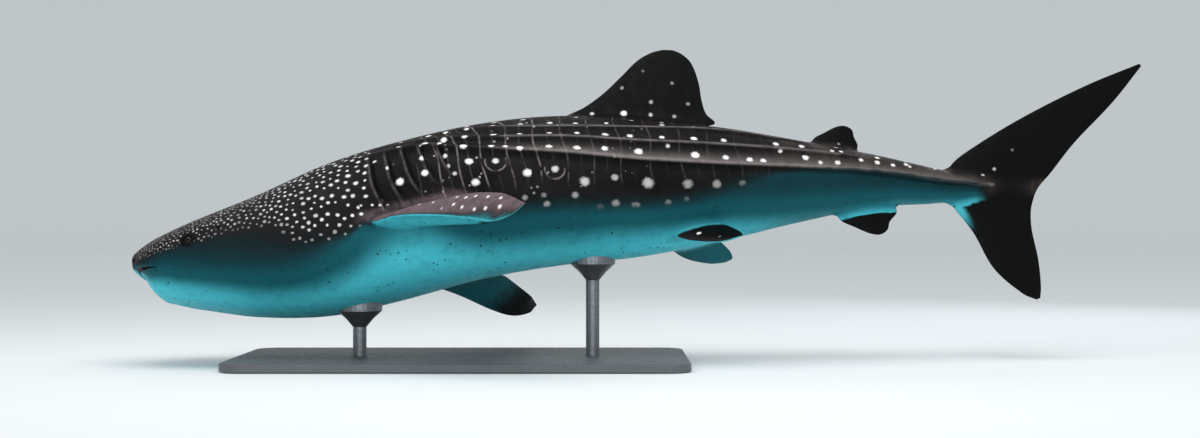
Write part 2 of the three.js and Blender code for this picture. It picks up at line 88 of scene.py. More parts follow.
face = {
    "eyeS": .452, "eyeAngle": 78, "eyeRadius": .031, "eyeFlat": .82, "eyeIn": .009, "eyeGap": .0006,
    "lidOut": .008, "lidGap": .003, "lidTube": .009, "lidTurn": -.06,
    "spiracleBack": .19, "spiracleUp": 6, "spiracleSize": [.011, .014, .014],
    "nostril": [.034, .25, .312], "nostrilSize": [.060, .046, .013],
    "gapeTo": .235, "gapeDeep": .065, "gapeHalf": .0085, "gapeDroop": .012, "gapeThin": .35,
    # lips: height of the roll, its place over the gape and half width, then how far back they reach
    "lips": [(.010, .030, .017), (.012, -.030, .020)], "lipsFrom": .16, "lipsFade": .16,
    # brow, eye socket and cheek: height, place and half width along s, place and half width in degrees
    "forms": [(.012, .47, .16, 66, 9), (-.012, .46, .10, 80, 9), (.010, .86, .30, 96, 12)],
}


def clip01(t):
    return np.clip(t, 0, 1)


def ease(t):
    # 3 t^2 - 2 t^3 between 0 and 1
    t = clip01(t)
    return t * t * (3 - 2 * t)


def bell(t):
    # e^(-t^2)
    return np.exp(-np.square(t))


def readRows(rows, x, column=1):
    # cubic Hermite through the rows, each slope (next - last) / (xNext - xLast)
    rows = np.asarray(rows, float)
    xs, ys = rows[:, 0], rows[:, column]
    slopes = np.empty_like(ys)
    slopes[1:-1] = (ys[2:] - ys[:-2]) / (xs[2:] - xs[:-2])
    slopes[0] = (ys[1] - ys[0]) / (xs[1] - xs[0])
    slopes[-1] = (ys[-1] - ys[-2]) / (xs[-1] - xs[-2])
    x = np.clip(x, xs[0], xs[-1])
    i = np.clip(np.searchsorted(xs, x, side="right") - 1, 0, len(xs) - 2)
    span = xs[i + 1] - xs[i]
    t = (x - xs[i]) / span
    return (ys[i] * (2 * t**3 - 3 * t**2 + 1) + slopes[i] * span * (t**3 - 2 * t**2 + t)
            + ys[i + 1] * (3 * t**2 - 2 * t**3) + slopes[i + 1] * span * (t**3 - t**2))


def centreHeight(s):
    return (readRows(body["sections"], s) + readRows(body["sections"], s, 2)) / 2


def sway(s):
    head = pose["headSway"] * (np.maximum(pose["headFrom"] - s, 0) / pose["headFrom"]) ** 2
    return head + pose["tailSway"] * (np.maximum(s - pose["tailFrom"], 0) / pose["tailSpan"]) ** 2


def bend(points):
    # each slice turns by the bank about its own middle and moves sideways by the sway
    s, y, z = points[..., 0], points[..., 1], points[..., 2]
    middle = centreHeight(s)
    c, n = math.cos(pose["bank"]), math.sin(pose["bank"])
    return np.stack([pose["snoutX"] + s,
                     pose["middleY"] + sway(s) + y * c + (z - middle) * n,
                     pose["lift"] + middle + (z - middle) * c - y * n], -1)


def unbend(points):
    s = points[..., 0] - pose["snoutX"]
    middle = centreHeight(s)
    y = points[..., 1] - pose["middleY"] - sway(s)
    z = points[..., 2] - pose["lift"] - middle
    c, n = math.cos(pose["bank"]), math.sin(pose["bank"])
    return np.stack([s, y * c - z * n, middle + y * n + z * c], -1)


def opening(s, length, power):
    # (1 - (1 - s / length)^power)^(1 / power)
    return (1 - (1 - clip01(s / length)) ** power) ** (1 / power)


def outline(s):
    # upper and lower edge and half width of the section at s, rounded off at the snout
    wide = opening(s - body["start"], body["snoutRound"], body["snoutPower"])
    tall = opening(s - body["start"], body["browRound"], body["browPower"])
    tip = body["tipHeight"]
    top = tip + (readRows(body["sections"], s) - tip) * tall
    low = tip + (readRows(body["sections"], s, 2) - tip) * tall
    return top, low, readRows(body["sections"], s, 3) * wide


def ridgeAngle(k, s):
    return readRows(body["ridgeAngles"][k], s)


def ridgeHeight(k, s):
    # grows and fades at its ends; the lowest one also swells into the keel of the tail stem
    height, begins, ends = body["ridges"][k]
    if k == 2:
        grown = (s - body["keelFrom"]) / (body["keelPeak"] - body["keelFrom"])
        height = height + body["keelExtra"] * ease(grown)
    return height * ease((s - begins) / body["ridgeGrow"]) * ease((ends - s) / body["ridgeFade"])


def gillLow(k):
    # angle where slit k ends below
    return gills["low"] - gills["lowStep"] * k


def gillBack(k, angle):
    # an edge leans back by (lean + more k) a degree and curves back below by curve (angle - from)^2
    down = np.clip(angle, gills["top"], gillLow(k) + 4)
    lean = (gills["lean"] + gills["leanMore"] * k) * (down - gills["top"])
    return lean + gills["curve"] * np.maximum(down - gills["curveFrom"], 0) ** 2


def gillPlace(k, s, angle):
    # how far behind the edge of flap k a point is, and how fully the flap is there
    along = ease((angle - gills["top"]) / gills["ends"]) * ease((gillLow(k) - angle) / gills["ends"])
    return s - gills["first"] - k * gills["pitch"] - gillBack(k, angle), along


def relief(s, angle):
    # ridges: a slow rise above the crest, a steep drop and a shallow trough below it
    rise = np.zeros(np.broadcast(s, angle).shape)
    depth, place, width = body["trough"]
    for k in range(3):
        off = angle - ridgeAngle(k, s)
        above = ease(1 + off / body["ridgeAbove"]) ** body["ridgeHollow"]
        crest = np.where(off < 0, above, ease(1 - off / body["ridgeBelow"]))
        rise += ridgeHeight(k, s) * (crest - depth * bell((off - place) / width))
    # gill flaps: a ramp up to each free edge, then the slit
    for k in range(gills["count"]):
        back, along = gillPlace(k, s, angle)
        ramp = np.where((back <= 0) & (back > -gills["pitch"]), 1 + back / gills["pitch"], 0)
        slit = np.where((back > 0) & (back < gills["width"]), 1 - back / gills["width"], 0)
        rise += along * (gills["flap"] * ramp ** gills["flapPower"] - gills["groove"] * slit)
    return rise


def headForm(s, angle, z):
    # lips rolled round the gape, then height bell(s) bell(angle) for the brow, the socket and the cheek
    near = 1 - ease((s - face["lipsFrom"]) / face["lipsFade"])
    form = 0
    for height, over, width in face["lips"]:
        form = form + height * bell((z - body["mouthHeight"] - over) / width) * near
    for height, place, length, turn, width in face["forms"]:
        form = form + height * bell((s - place) / length) * bell((angle - turn) / width)
    return form


def fullness(s, isLow):
    # exponent of a section: full below, easing off along the trunk, and nearly round above
    low = body["fullBelow"] - body["fullLoss"] * ease((s - body["fullFrom"]) / body["fullSpan"])
    return np.where(isLow, low, body["fullAbove"])


def jawBack(s, z):
    # the chin sits back by setback ease(depth under the gape) (1 - ease(s / round))
    below = ease((body["mouthHeight"] + body["lipStep"] / 2 - z) / body["lipStep"])
    return body["jawSetback"] * below * (1 - ease(s / body["snoutRound"]))


def skinPoint(s, angle, side):
    # superellipse section: y = half sin^(2/f), z = middle + tall cos^(2/f), f from full below to round above
    s, angle = np.broadcast_arrays(np.asarray(s, float), np.asarray(angle, float))
    top, low, half = outline(s)
    full = fullness(s, angle > 90)
    up = np.cos(np.radians(angle))
    rise = np.sign(up) * np.abs(up) ** (2 / full)
    across = np.abs(np.sin(np.radians(angle))) ** (2 / full)
    flatZ = (top + low) / 2 + (top - low) / 2 * rise
    bump = (relief(s, angle) + headForm(s, angle, flatZ)) * ease(s / body["browRound"])
    z = flatZ + bump * rise
    return np.stack([s + jawBack(s, z), side * (half + bump) * across, z], -1)


def skinPlace(points):
    # s, angle and height over the skin of points near the straight body
    s, y, z = points[..., 0], points[..., 1], points[..., 2]
    ring = s
    for _ in range(4):
        ring = s - jawBack(ring, z)
    top, low, half = outline(ring)
    up = (z - (top + low) / 2) / np.maximum((top - low) / 2, 1e-4)
    across = np.abs(y) / np.maximum(half, 1e-4)
    full = fullness(ring, up < 0)
    angle = np.degrees(np.arctan2(across ** (full / 2), np.sign(up) * np.abs(up) ** (full / 2)))
    size = (across**full + np.abs(up) ** full) ** (1 / full)
    over = (size - 1) / np.maximum(size, 1e-3) * np.hypot(y, z - (top + low) / 2)
    return ring, angle, over


def makeMesh(name, points, faces):
    # points n x 3, faces an n x 4 or n x 3 array or a list of such arrays
    faces = [f for f in (faces if isinstance(faces, list) else [faces]) if len(f)]
    loops = np.concatenate([f.reshape(-1) for f in faces]).astype(np.int32)
    sizes = np.concatenate([np.full(len(f), f.shape[1]) for f in faces])
    starts = np.concatenate([[0], np.cumsum(sizes)[:-1]]).astype(np.int32)
    mesh = bpy.data.meshes.new(name)
    mesh.vertices.add(len(points))
    mesh.vertices.foreach_set("co", np.asarray(points, np.float32).ravel())
    mesh.loops.add(len(loops))
    mesh.loops.foreach_set("vertex_index", loops)
    mesh.polygons.add(len(sizes))
    mesh.polygons.foreach_set("loop_start", starts)
    mesh.polygons.foreach_set("use_smooth", np.ones(len(sizes), bool))
    mesh.update(calc_edges=True)
    mesh.validate()
    return mesh


def gridQuads(rows, columns, closedRows=False, closedColumns=True):
    # the four corners of each cell of a grid of points, going round where it is closed
    i, j = np.meshgrid(np.arange(rows - (not closedRows)), np.arange(columns - (not closedColumns)),
                       indexing="ij")
    i2, j2 = (i + 1) % rows, (j + 1) % columns
    quads = [i * columns + j, i * columns + j2, i2 * columns + j2, i2 * columns + j]
    return np.stack(quads, -1).reshape(-1, 4)


def closedLoft(rings, ends=None):
    # rings r x n x 3 joined ring to ring, both ends fanned to a point, or else to the ring's mean, then bent
    r, n = rings.shape[:2]
    ends = [rings[0].mean(0), rings[-1].mean(0)] if ends is None else ends
    points = bend(np.concatenate([rings.reshape(-1, 3), ends]))
    a = np.arange(n)
    b = (a + 1) % n
    first = np.stack([np.full(n, r * n), b, a], -1)
    last = np.stack([np.full(n, r * n + 1), (r - 1) * n + a, (r - 1) * n + b], -1)
    return points, [gridQuads(r, n), first, last]


def outward(points, faces):
    # turned round where the signed volume, a sum of a . (b x c) / 6, is negative
    total = 0.0
    for f in faces:
        for k in range(1, f.shape[1] - 1):
            total += np.sum(points[f[:, 0]] * np.cross(points[f[:, k]], points[f[:, k + 1]]))
    return faces if total > 0 else [f[:, ::-1] for f in faces]


def addObject(name, data):
    made = bpy.data.objects.new(name, data)
    bpy.context.scene.collection.objects.link(made)
    return made


def joinShells(name, shells):
    # several closed shells in one mesh
    points, faces, count = [], [], 0
    for shellPoints, shellFaces in shells:
        points.append(shellPoints)
        faces += [f + count for f in outward(shellPoints, shellFaces)]
        count += len(shellPoints)
    faces.sort(key=lambda f: -f.shape[1])
    return addObject(name, makeMesh(name, np.concatenate(points), faces))


def combine(target, other, operation):
    # material_mode TRANSFER keeps on each face which of the two it came from
    step = target.modifiers.new("join", "BOOLEAN")
    step.operation, step.solver, step.object = operation, "MANIFOLD", other
    step.material_mode = "TRANSFER"
    bpy.context.view_layer.update()
    made = bpy.data.meshes.new_from_object(target.evaluated_get(bpy.context.evaluated_depsgraph_get()))
    target.modifiers.clear()
    target.data = made
    bpy.data.objects.remove(other)


# Rings of the skin: steps between the stops of one side, steps and distances along s
spacing = {
    "turns": [10, 6, 5, 5, 5, 5, 5, 6, 5, 36],
    "tipSteps": 26, "front": .0125, "frontFrom": .011, "frontTo": 1.46, "between": [1.475, 1.49],
    "gill": [-.074, -.060, -.046, -.032, -.020, -.010, -.001, .003, .010, .018, .027],
    "gillFrom": 1.50, "rearFrom": .018, "rear": .0245, "rearEnd": .03, "endCap": .004,
}


def ringAngles(s):
    # one side's angles at each s: spread evenly between stops above, on and below each ridge
    half = np.full_like(s, 180.0)
    stops, last = [np.zeros_like(s)], np.zeros_like(s)
    for k in range(3):
        at = ridgeAngle(k, s)
        after = ridgeAngle(k + 1, s) if k < 2 else half
        stops += [at - np.minimum(body["ridgeAbove"], .5 * (at - last)), at,
                  at + np.minimum(body["ridgeBelow"], .4 * (after - at))]
        last = at
    stops.append(half)
    parts = []
    for a, b, steps in zip(stops[:-1], stops[1:], spacing["turns"]):
        t = np.arange(steps) / steps
        parts.append(a[:, None] + (b - a)[:, None] * t)
    return np.concatenate(parts + [half[:, None]], 1)


def ringDistances():
    # close together at the snout, (1 - cos) apart, and round each gill slit
    n = spacing["tipSteps"]
    tip = body["start"] + body["browRound"] * (1 - np.cos(np.pi / 2 * np.arange(1, n + 1) / n))
    front = np.arange(tip[-1] + spacing["frontFrom"], spacing["frontTo"], spacing["front"])
    edges = gills["first"] + gills["pitch"] * np.arange(gills["count"])
    slits = (edges[:, None] + np.array(spacing["gill"])).ravel()
    slits = slits[slits > spacing["gillFrom"]]
    rear = np.arange(slits[-1] + spacing["rearFrom"], body["end"] - spacing["rearEnd"], spacing["rear"])
    parts = [tip, front, spacing["between"], slits, rear, [body["end"]]]
    return np.unique(np.round(np.concatenate(parts), 4))


def slanted(s, angle):
    # rings lean with the gill slits and stand upright away from them
    last = gills["count"] - 1
    front = ease((s - gills["first"] + .34) / .3)
    rear = ease((gills["first"] + gills["pitch"] * last + .64 - s) / .6)
    share = clip01((s - gills["first"]) / (gills["pitch"] * last))
    return s + gillBack(share * last, angle) * front * rear


def bodyShell():
    s = ringDistances()
    angles = ringAngles(s)
    at = slanted(s[:, None], angles)
    right = skinPoint(at, angles, 1)
    left = skinPoint(at, angles, -1)[:, -2:0:-1]
    endHeight = float(centreHeight(np.array(body["end"])))
    tips = [[body["start"], 0, body["tipHeight"]], [body["end"] + spacing["endCap"], 0, endHeight]]
    return closedLoft(np.concatenate([right, left], 1), tips)


# Fins of the midline: share of span, leading edge (s, z), trailing edge (s, z), thickness
fins = {
    "dorsalFirst": {"around": 26, "along": 46, "rows": [
        [0, 2.7, 1.12, 3.6, 1.12, .15], [.2, 2.79, 1.318, 3.77, 1.262, .124],
        [.27, 2.88, 1.358, 3.88, 1.3, .11], [.35, 2.985, 1.408, 3.822, 1.362, .094],
        [.52, 3.12, 1.51, 3.79, 1.46, .07],
        [.72, 3.25, 1.64, 3.768, 1.6, .05], [.88, 3.355, 1.748, 3.718, 1.735, .034],
        [.97, 3.45, 1.805, 3.65, 1.8, .02], [1, 3.52, 1.824, 3.6, 1.822, .008]]},
    "dorsalSecond": {"around": 20, "along": 26, "rows": [
        [0, 4.47, 1.04, 4.79, 1.02, .07], [.4, 4.535, 1.182, 4.858, 1.128, .05],
        [.75, 4.64, 1.246, 4.83, 1.214, .026], [.9, 4.692, 1.274, 4.824, 1.25, .018],
        [.97, 4.726, 1.286, 4.808, 1.272, .01], [1, 4.752, 1.289, 4.784, 1.284, .006]]},
    "anal": {"around": 20, "along": 26, "rows": [
        [0, 4.66, .79, 5.01, .84, .07], [.4, 4.7, .64, 5.118, .706, .046],
        [.75, 4.838, .566, 5.058, .612, .026], [.9, 4.905, .537, 5.046, .568, .018],
        [.97, 4.946, .526, 5.028, .544, .01], [1, 4.974, .523, 5.006, .53, .006]]},
    "caudal": {"around": 26, "along": 84, "rows": [
        [0, 6.07, .069, 6.098, .08, .008], [.06, 5.975, .11, 6.108, .16, .022],
        [.2, 5.775, .29, 6.1, .35, .04], [.33, 5.64, .545, 6.066, .56, .06],
        [.42, 5.5, .735, 6.066, .68, .084],
        [.5, 5.44, .865, 6.085, .76, .092], [.57, 5.505, 1.012, 6.125, .85, .084],
        [.67, 5.7, 1.16, 6.23, .965, .064], [.8, 6.09, 1.388, 6.43, 1.195, .046],
        [.92, 6.56, 1.618, 6.74, 1.495, .028], [1, 6.96, 1.78, 6.975, 1.762, .008]]},
}
for fin in fins.values():
    fin["normal"] = [0, 1, 0]
    fin["rows"] = [[v, s1, 0, z1, s2, 0, z2, thick] for v, s1, z1, s2, z2, thick in fin["rows"]]

# Paired fins: share of span, edges as (s, y, z) and thickness of the left one. The right one hangs lower:
# drops gives the share of "drop" taken off s and z of its leading edge and off s and z of its trailing edge.
pairs = {
    "pectoral": {"around": 28, "along": 54, "camber": .034, "lean": .12, "drop": .08, "rows": [
        [0, 1.44, .3, .52, 2.11, .3, .64, .124], [.12, 1.56, .5, .508, 2.26, .48, .628, .11],
        [.25, 1.665, .625, .468, 2.385, .635, .448, .098], [.4, 1.822, .8, .461, 2.4, .83, .488, .092],
        [.57, 2.071, 1.0, .415, 2.42, 1.01, .528, .074], [.76, 2.319, 1.22, .34, 2.51, 1.25, .485, .052],
        [.88, 2.463, 1.34, .29, 2.59, 1.375, .425, .036], [.96, 2.581, 1.44, .3, 2.64, 1.455, .38, .02],
        [1, 2.655, 1.505, .34, 2.668, 1.508, .355, .008]],
        "drops": [[0, 0, 0, 0], [0, .2, 0, .2], [0, .5, 0, .4], [0, .9, 0, .7], [0, 1, 0, .8], [0, 1, 0, .6],
                  [0, .6, 0, .4], [0, .2, .4, 0], [.5, 0, .5, 0]]},
    "pelvic": {"around": 20, "along": 26, "camber": 0, "lean": .6, "drop": -.055, "rows": [
        [0, 3.48, .11, .52, 3.82, .1, .57, .066], [.3, 3.57, .215, .47, 3.9, .22, .545, .05],
        [.7, 3.7, .35, .4, 3.99, .36, .47, .032], [.93, 3.86, .44, .372, 4.015, .44, .425, .016],
        [1, 3.95, .47, .385, 4.01, .472, .408, .006]],
        "drops": [[0, 0, 0, 0], [0, .2, 0, 0], [0, .7, 0, .5], [0, 1, 0, .8], [0, 1, 0, 1]]},
}
for word, side in [("Left", -1), ("Right", 1)]:
    for name, pair in pairs.items():
        rows = np.array(pair["rows"]) * [1, 1, side, 1, 1, side, 1, 1]
        if side > 0:
            rows[:, [1, 3, 4, 6]] -= pair["drop"] * np.array(pair["drops"])
        fins[name + word] = {**pair, "normal": [0, side * pair["lean"], 1], "rows": rows}

finForm = {"tipCrowd": 1.25, "edge": .005, "flare": .022, "flareReach": .07, "flareIn": .05}


def finEdges(fin, v):
    # leading and trailing edge at the shares v of the span
    values = [readRows(fin["rows"], v, k) for k in range(1, 7)]
    return np.stack(values[:3], -1), np.stack(values[3:], -1)


def finShell(fin):
    # edge to edge c = (1 - cos) / 2, half thickness = (thick foil(c) + edge sqrt(sin pi c)) / 2
    v = 1 - (1 - np.arange(fin["along"] + 1) / fin["along"]) ** finForm["tipCrowd"]
    lead, trail = finEdges(fin, v)
    c = (1 - np.cos(np.pi * np.arange(fin["around"] + 1) / fin["around"])) / 2
    foil = 2.6 * (np.sqrt(c) * (1 - c) * .74 + .055 * np.sin(np.pi * c))
    rim = finForm["edge"] * np.sqrt(np.sin(np.pi * np.minimum(c + .02, .98)))
    half = (readRows(fin["rows"], v, 7)[:, None] * foil + rim) / 2
    normal = np.array(fin["normal"], float)
    arch = fin.get("camber", 0) * np.sin(np.pi * v)[:, None] * 4 * c * (1 - c)
    middle = lead[:, None] + (trail - lead)[:, None] * c[:, None] + arch[..., None] * normal
    # the root flares where it meets the body: flare (1 - over / reach)^2
    _, _, over = skinPlace(middle)
    flare = finForm["flare"] * np.sqrt(np.sin(np.pi * np.clip(c, .03, .97)))
    half = half + flare * clip01(1 - over / finForm["flareReach"]) ** 2 * (over > -finForm["flareIn"])
    upper = middle + half[..., None] * normal
    lower = (middle - half[..., None] * normal)[:, ::-1]
    return closedLoft(np.concatenate([upper, lower], 1))


def ballShell(centre, radii, steps=28):
    # ellipsoid by latitude and longitude about the y axis
    polar = np.pi * np.arange(1, steps // 2) / (steps // 2)
    turn = 2 * np.pi * np.arange(steps) / steps
    p, t = np.meshgrid(polar, turn, indexing="ij")
    unit = np.stack([np.sin(p) * np.cos(t), np.cos(p), np.sin(p) * np.sin(t)], -1)
    return closedLoft(unit * radii + centre, np.array([[0, 1, 0], [0, -1, 0]]) * radii + centre)


def torusShell(centre, radius, tube, turnZ):
    # a ring about the y axis, (radius + tube cos b) round and tube sin b across, turned a little about z
    a, b = np.meshgrid(2 * np.pi * np.arange(56) / 56, 2 * np.pi * np.arange(14) / 14, indexing="ij")
    reach = radius + tube * np.cos(b)
    x, y, z = reach * np.cos(a), tube * np.sin(b), reach * np.sin(a)
    c, n = math.cos(turnZ), math.sin(turnZ)
    rings = bend(np.stack([x * c - y * n, x * n + y * c, z], -1) + np.array(centre))
    return rings.reshape(-1, 3), [gridQuads(*a.shape, closedRows=True)]


def eyeCentre(side):
    return skinPoint(face["eyeS"], face["eyeAngle"], side) - np.array([0, side * face["eyeIn"], 0])


def gapeShell():
    # an ellipse, twice deep x twice half, swept along the skin at mouth height from corner to corner
    height = body["mouthHeight"]
    s = np.linspace(body["start"] + .0005, face["gapeTo"], 900)
    top, low, half = outline(s)
    s, top, low, half = (a[low < height] for a in (s, top, low, half))
    middle = (top + low) / 2
    below = middle > height
    full = np.where(below, body["fullBelow"], body["fullAbove"])
    rise = clip01(np.abs(height - middle) / ((top - low) / 2))
    cosine = rise ** (full / 2) * np.where(below, -1, 1)
    across = np.sqrt(np.maximum(1 - cosine**2, 0)) ** (2 / full)
    back = body["jawSetback"] * .5 * (1 - ease(s / body["snoutRound"]))
    rightSide = np.stack([s + back, half * across, np.full_like(s, height)], -1)
    path = np.concatenate([rightSide[::-1] * [1, -1, 1], rightSide[1:]])
    run = np.concatenate([[0], np.cumsum(np.linalg.norm(np.diff(path, axis=0), axis=1))])
    u = np.linspace(0, run[-1], 130)
    path = np.stack([np.interp(u, run, path[:, k]) for k in range(3)], -1)
    for _ in range(6):
        path[1:-1] = (path[:-2] + 2 * path[1:-1] + path[2:]) / 4
    along = np.gradient(path, axis=0)
    out = np.stack([along[:, 1], -along[:, 0], np.zeros(len(u))], -1)
    out /= np.linalg.norm(out, axis=1)[:, None]
    out *= np.sign(np.sum(out * (path - [.6, 0, height]), 1))[:, None]
    # thinner and lower towards the corners
    ends = np.minimum(u, run[-1] - u)
    taper = (face["gapeThin"] + (1 - face["gapeThin"]) * ease(ends / .16))[:, None]
    turn = 2 * np.pi * np.arange(20) / 20
    deep = face["gapeDeep"] * taper * np.cos(turn)
    tall = face["gapeHalf"] * taper * np.sin(turn)
    rings = path[:, None] + out[:, None] * deep[..., None] + np.array([0, 0, 1.0]) * tall[..., None]
    rings[..., 2] -= face["gapeDroop"] * ease(1 - ends / .22)[:, None]
    return closedLoft(rings)


def buildSkin():
    shark = joinShells("shark_skin", [bodyShell()])
    shark.data.materials.append(bpy.data.materials.new("bodySide"))
    finObject = joinShells("fins", [finShell(fin) for fin in fins.values()])
    finObject.data.materials.append(bpy.data.materials.new("finSide"))
    combine(shark, finObject, "UNION")
    print("fins joined:", len(shark.data.polygons), "faces")
    lids, cuts = [], [gapeShell()]
    radius, gap = face["eyeRadius"], face["eyeGap"]
    x, y, z = face["nostril"]
    for side in (-1, 1):
        centre = eyeCentre(side)
        lid = centre + [0, side * face["lidOut"], 0]
        lids.append(torusShell(lid, radius + face["lidGap"], face["lidTube"], side * face["lidTurn"]))
        spiracle = skinPoint(face["eyeS"] + face["spiracleBack"], face["eyeAngle"] - face["spiracleUp"], side)
        cuts += [ballShell(centre, [radius + gap, radius * face["eyeFlat"] + gap, radius + gap], 36),
                 ballShell([x, side * y, z], face["nostrilSize"]), ballShell(spiracle, face["spiracleSize"])]
    combine(shark, joinShells("lids", lids), "UNION")
    combine(shark, joinShells("cuts", cuts), "DIFFERENCE")
    print("face cut:", len(shark.data.polygons), "faces")
    return shark


def readColumn(items, key, width=1, kind=np.int32):
    values = np.empty(len(items) * width, kind)
    items.foreach_get(key, values)
    return values.reshape(-1, width) if width > 1 else values


def readMesh(mesh):
    # points, the point of each corner, and the corner count and material of each face
    points = readColumn(mesh.vertices, "co", 3, np.float32).astype(float)
    return (points, readColumn(mesh.loops, "vertex_index"), readColumn(mesh.polygons, "loop_total"),
            readColumn(mesh.polygons, "material_index"))


def nearestGap(points, targets, reach):
    # distance from each point to the nearest target, worked out in blocks
    gap = np.full(len(points), reach)
    for k in range(0, len(targets), 60):
        block = targets[k:k + 60]
        lo, hi = block.min(0) - reach, block.max(0) + reach
        inside = np.nonzero(np.all((points > lo) & (points < hi), 1))[0]
        d = np.linalg.norm(points[inside, None] - block[None], axis=2).min(1)
        gap[inside] = np.minimum(gap[inside], d)
    return gap


def softenJoins(mesh, reach=.075, rounds=36, step=.6):
    # each round moves a point towards the mean of its neighbours, by step (1 - gap / reach)^2
    points, corners, sizes, kinds = readMesh(mesh)
    a, b = readColumn(mesh.edges, "vertices", 2).T
    ofFin = np.repeat(kinds, sizes) == 1
    n = len(points)
    onFin, onBody = np.zeros(n, bool), np.zeros(n, bool)
    onFin[corners[ofFin]] = True
    onBody[corners[~ofFin]] = True
    seam = np.nonzero(onFin & onBody)[0]
    seam = seam[np.argsort(points[seam, 0])]
    weight = (1 - nearestGap(points, points[seam], reach) / reach)[:, None] ** 2
    degree = np.maximum(np.bincount(np.concatenate([a, b]), minlength=n), 1)[:, None]
    for _ in range(rounds):
        total = [np.bincount(a, points[b, k], n) + np.bincount(b, points[a, k], n) for k in range(3)]
        points += weight * step * (np.stack(total, -1) / degree - points)
    mesh.vertices.foreach_set("co", points.astype(np.float32).ravel())
    mesh.update()
    print("joins softened:", len(seam), "points on them")
    return onFin & ~onBody, onFin & onBody


shark = buildSkin()
finOnly, onSeam = softenJoins(shark.data)

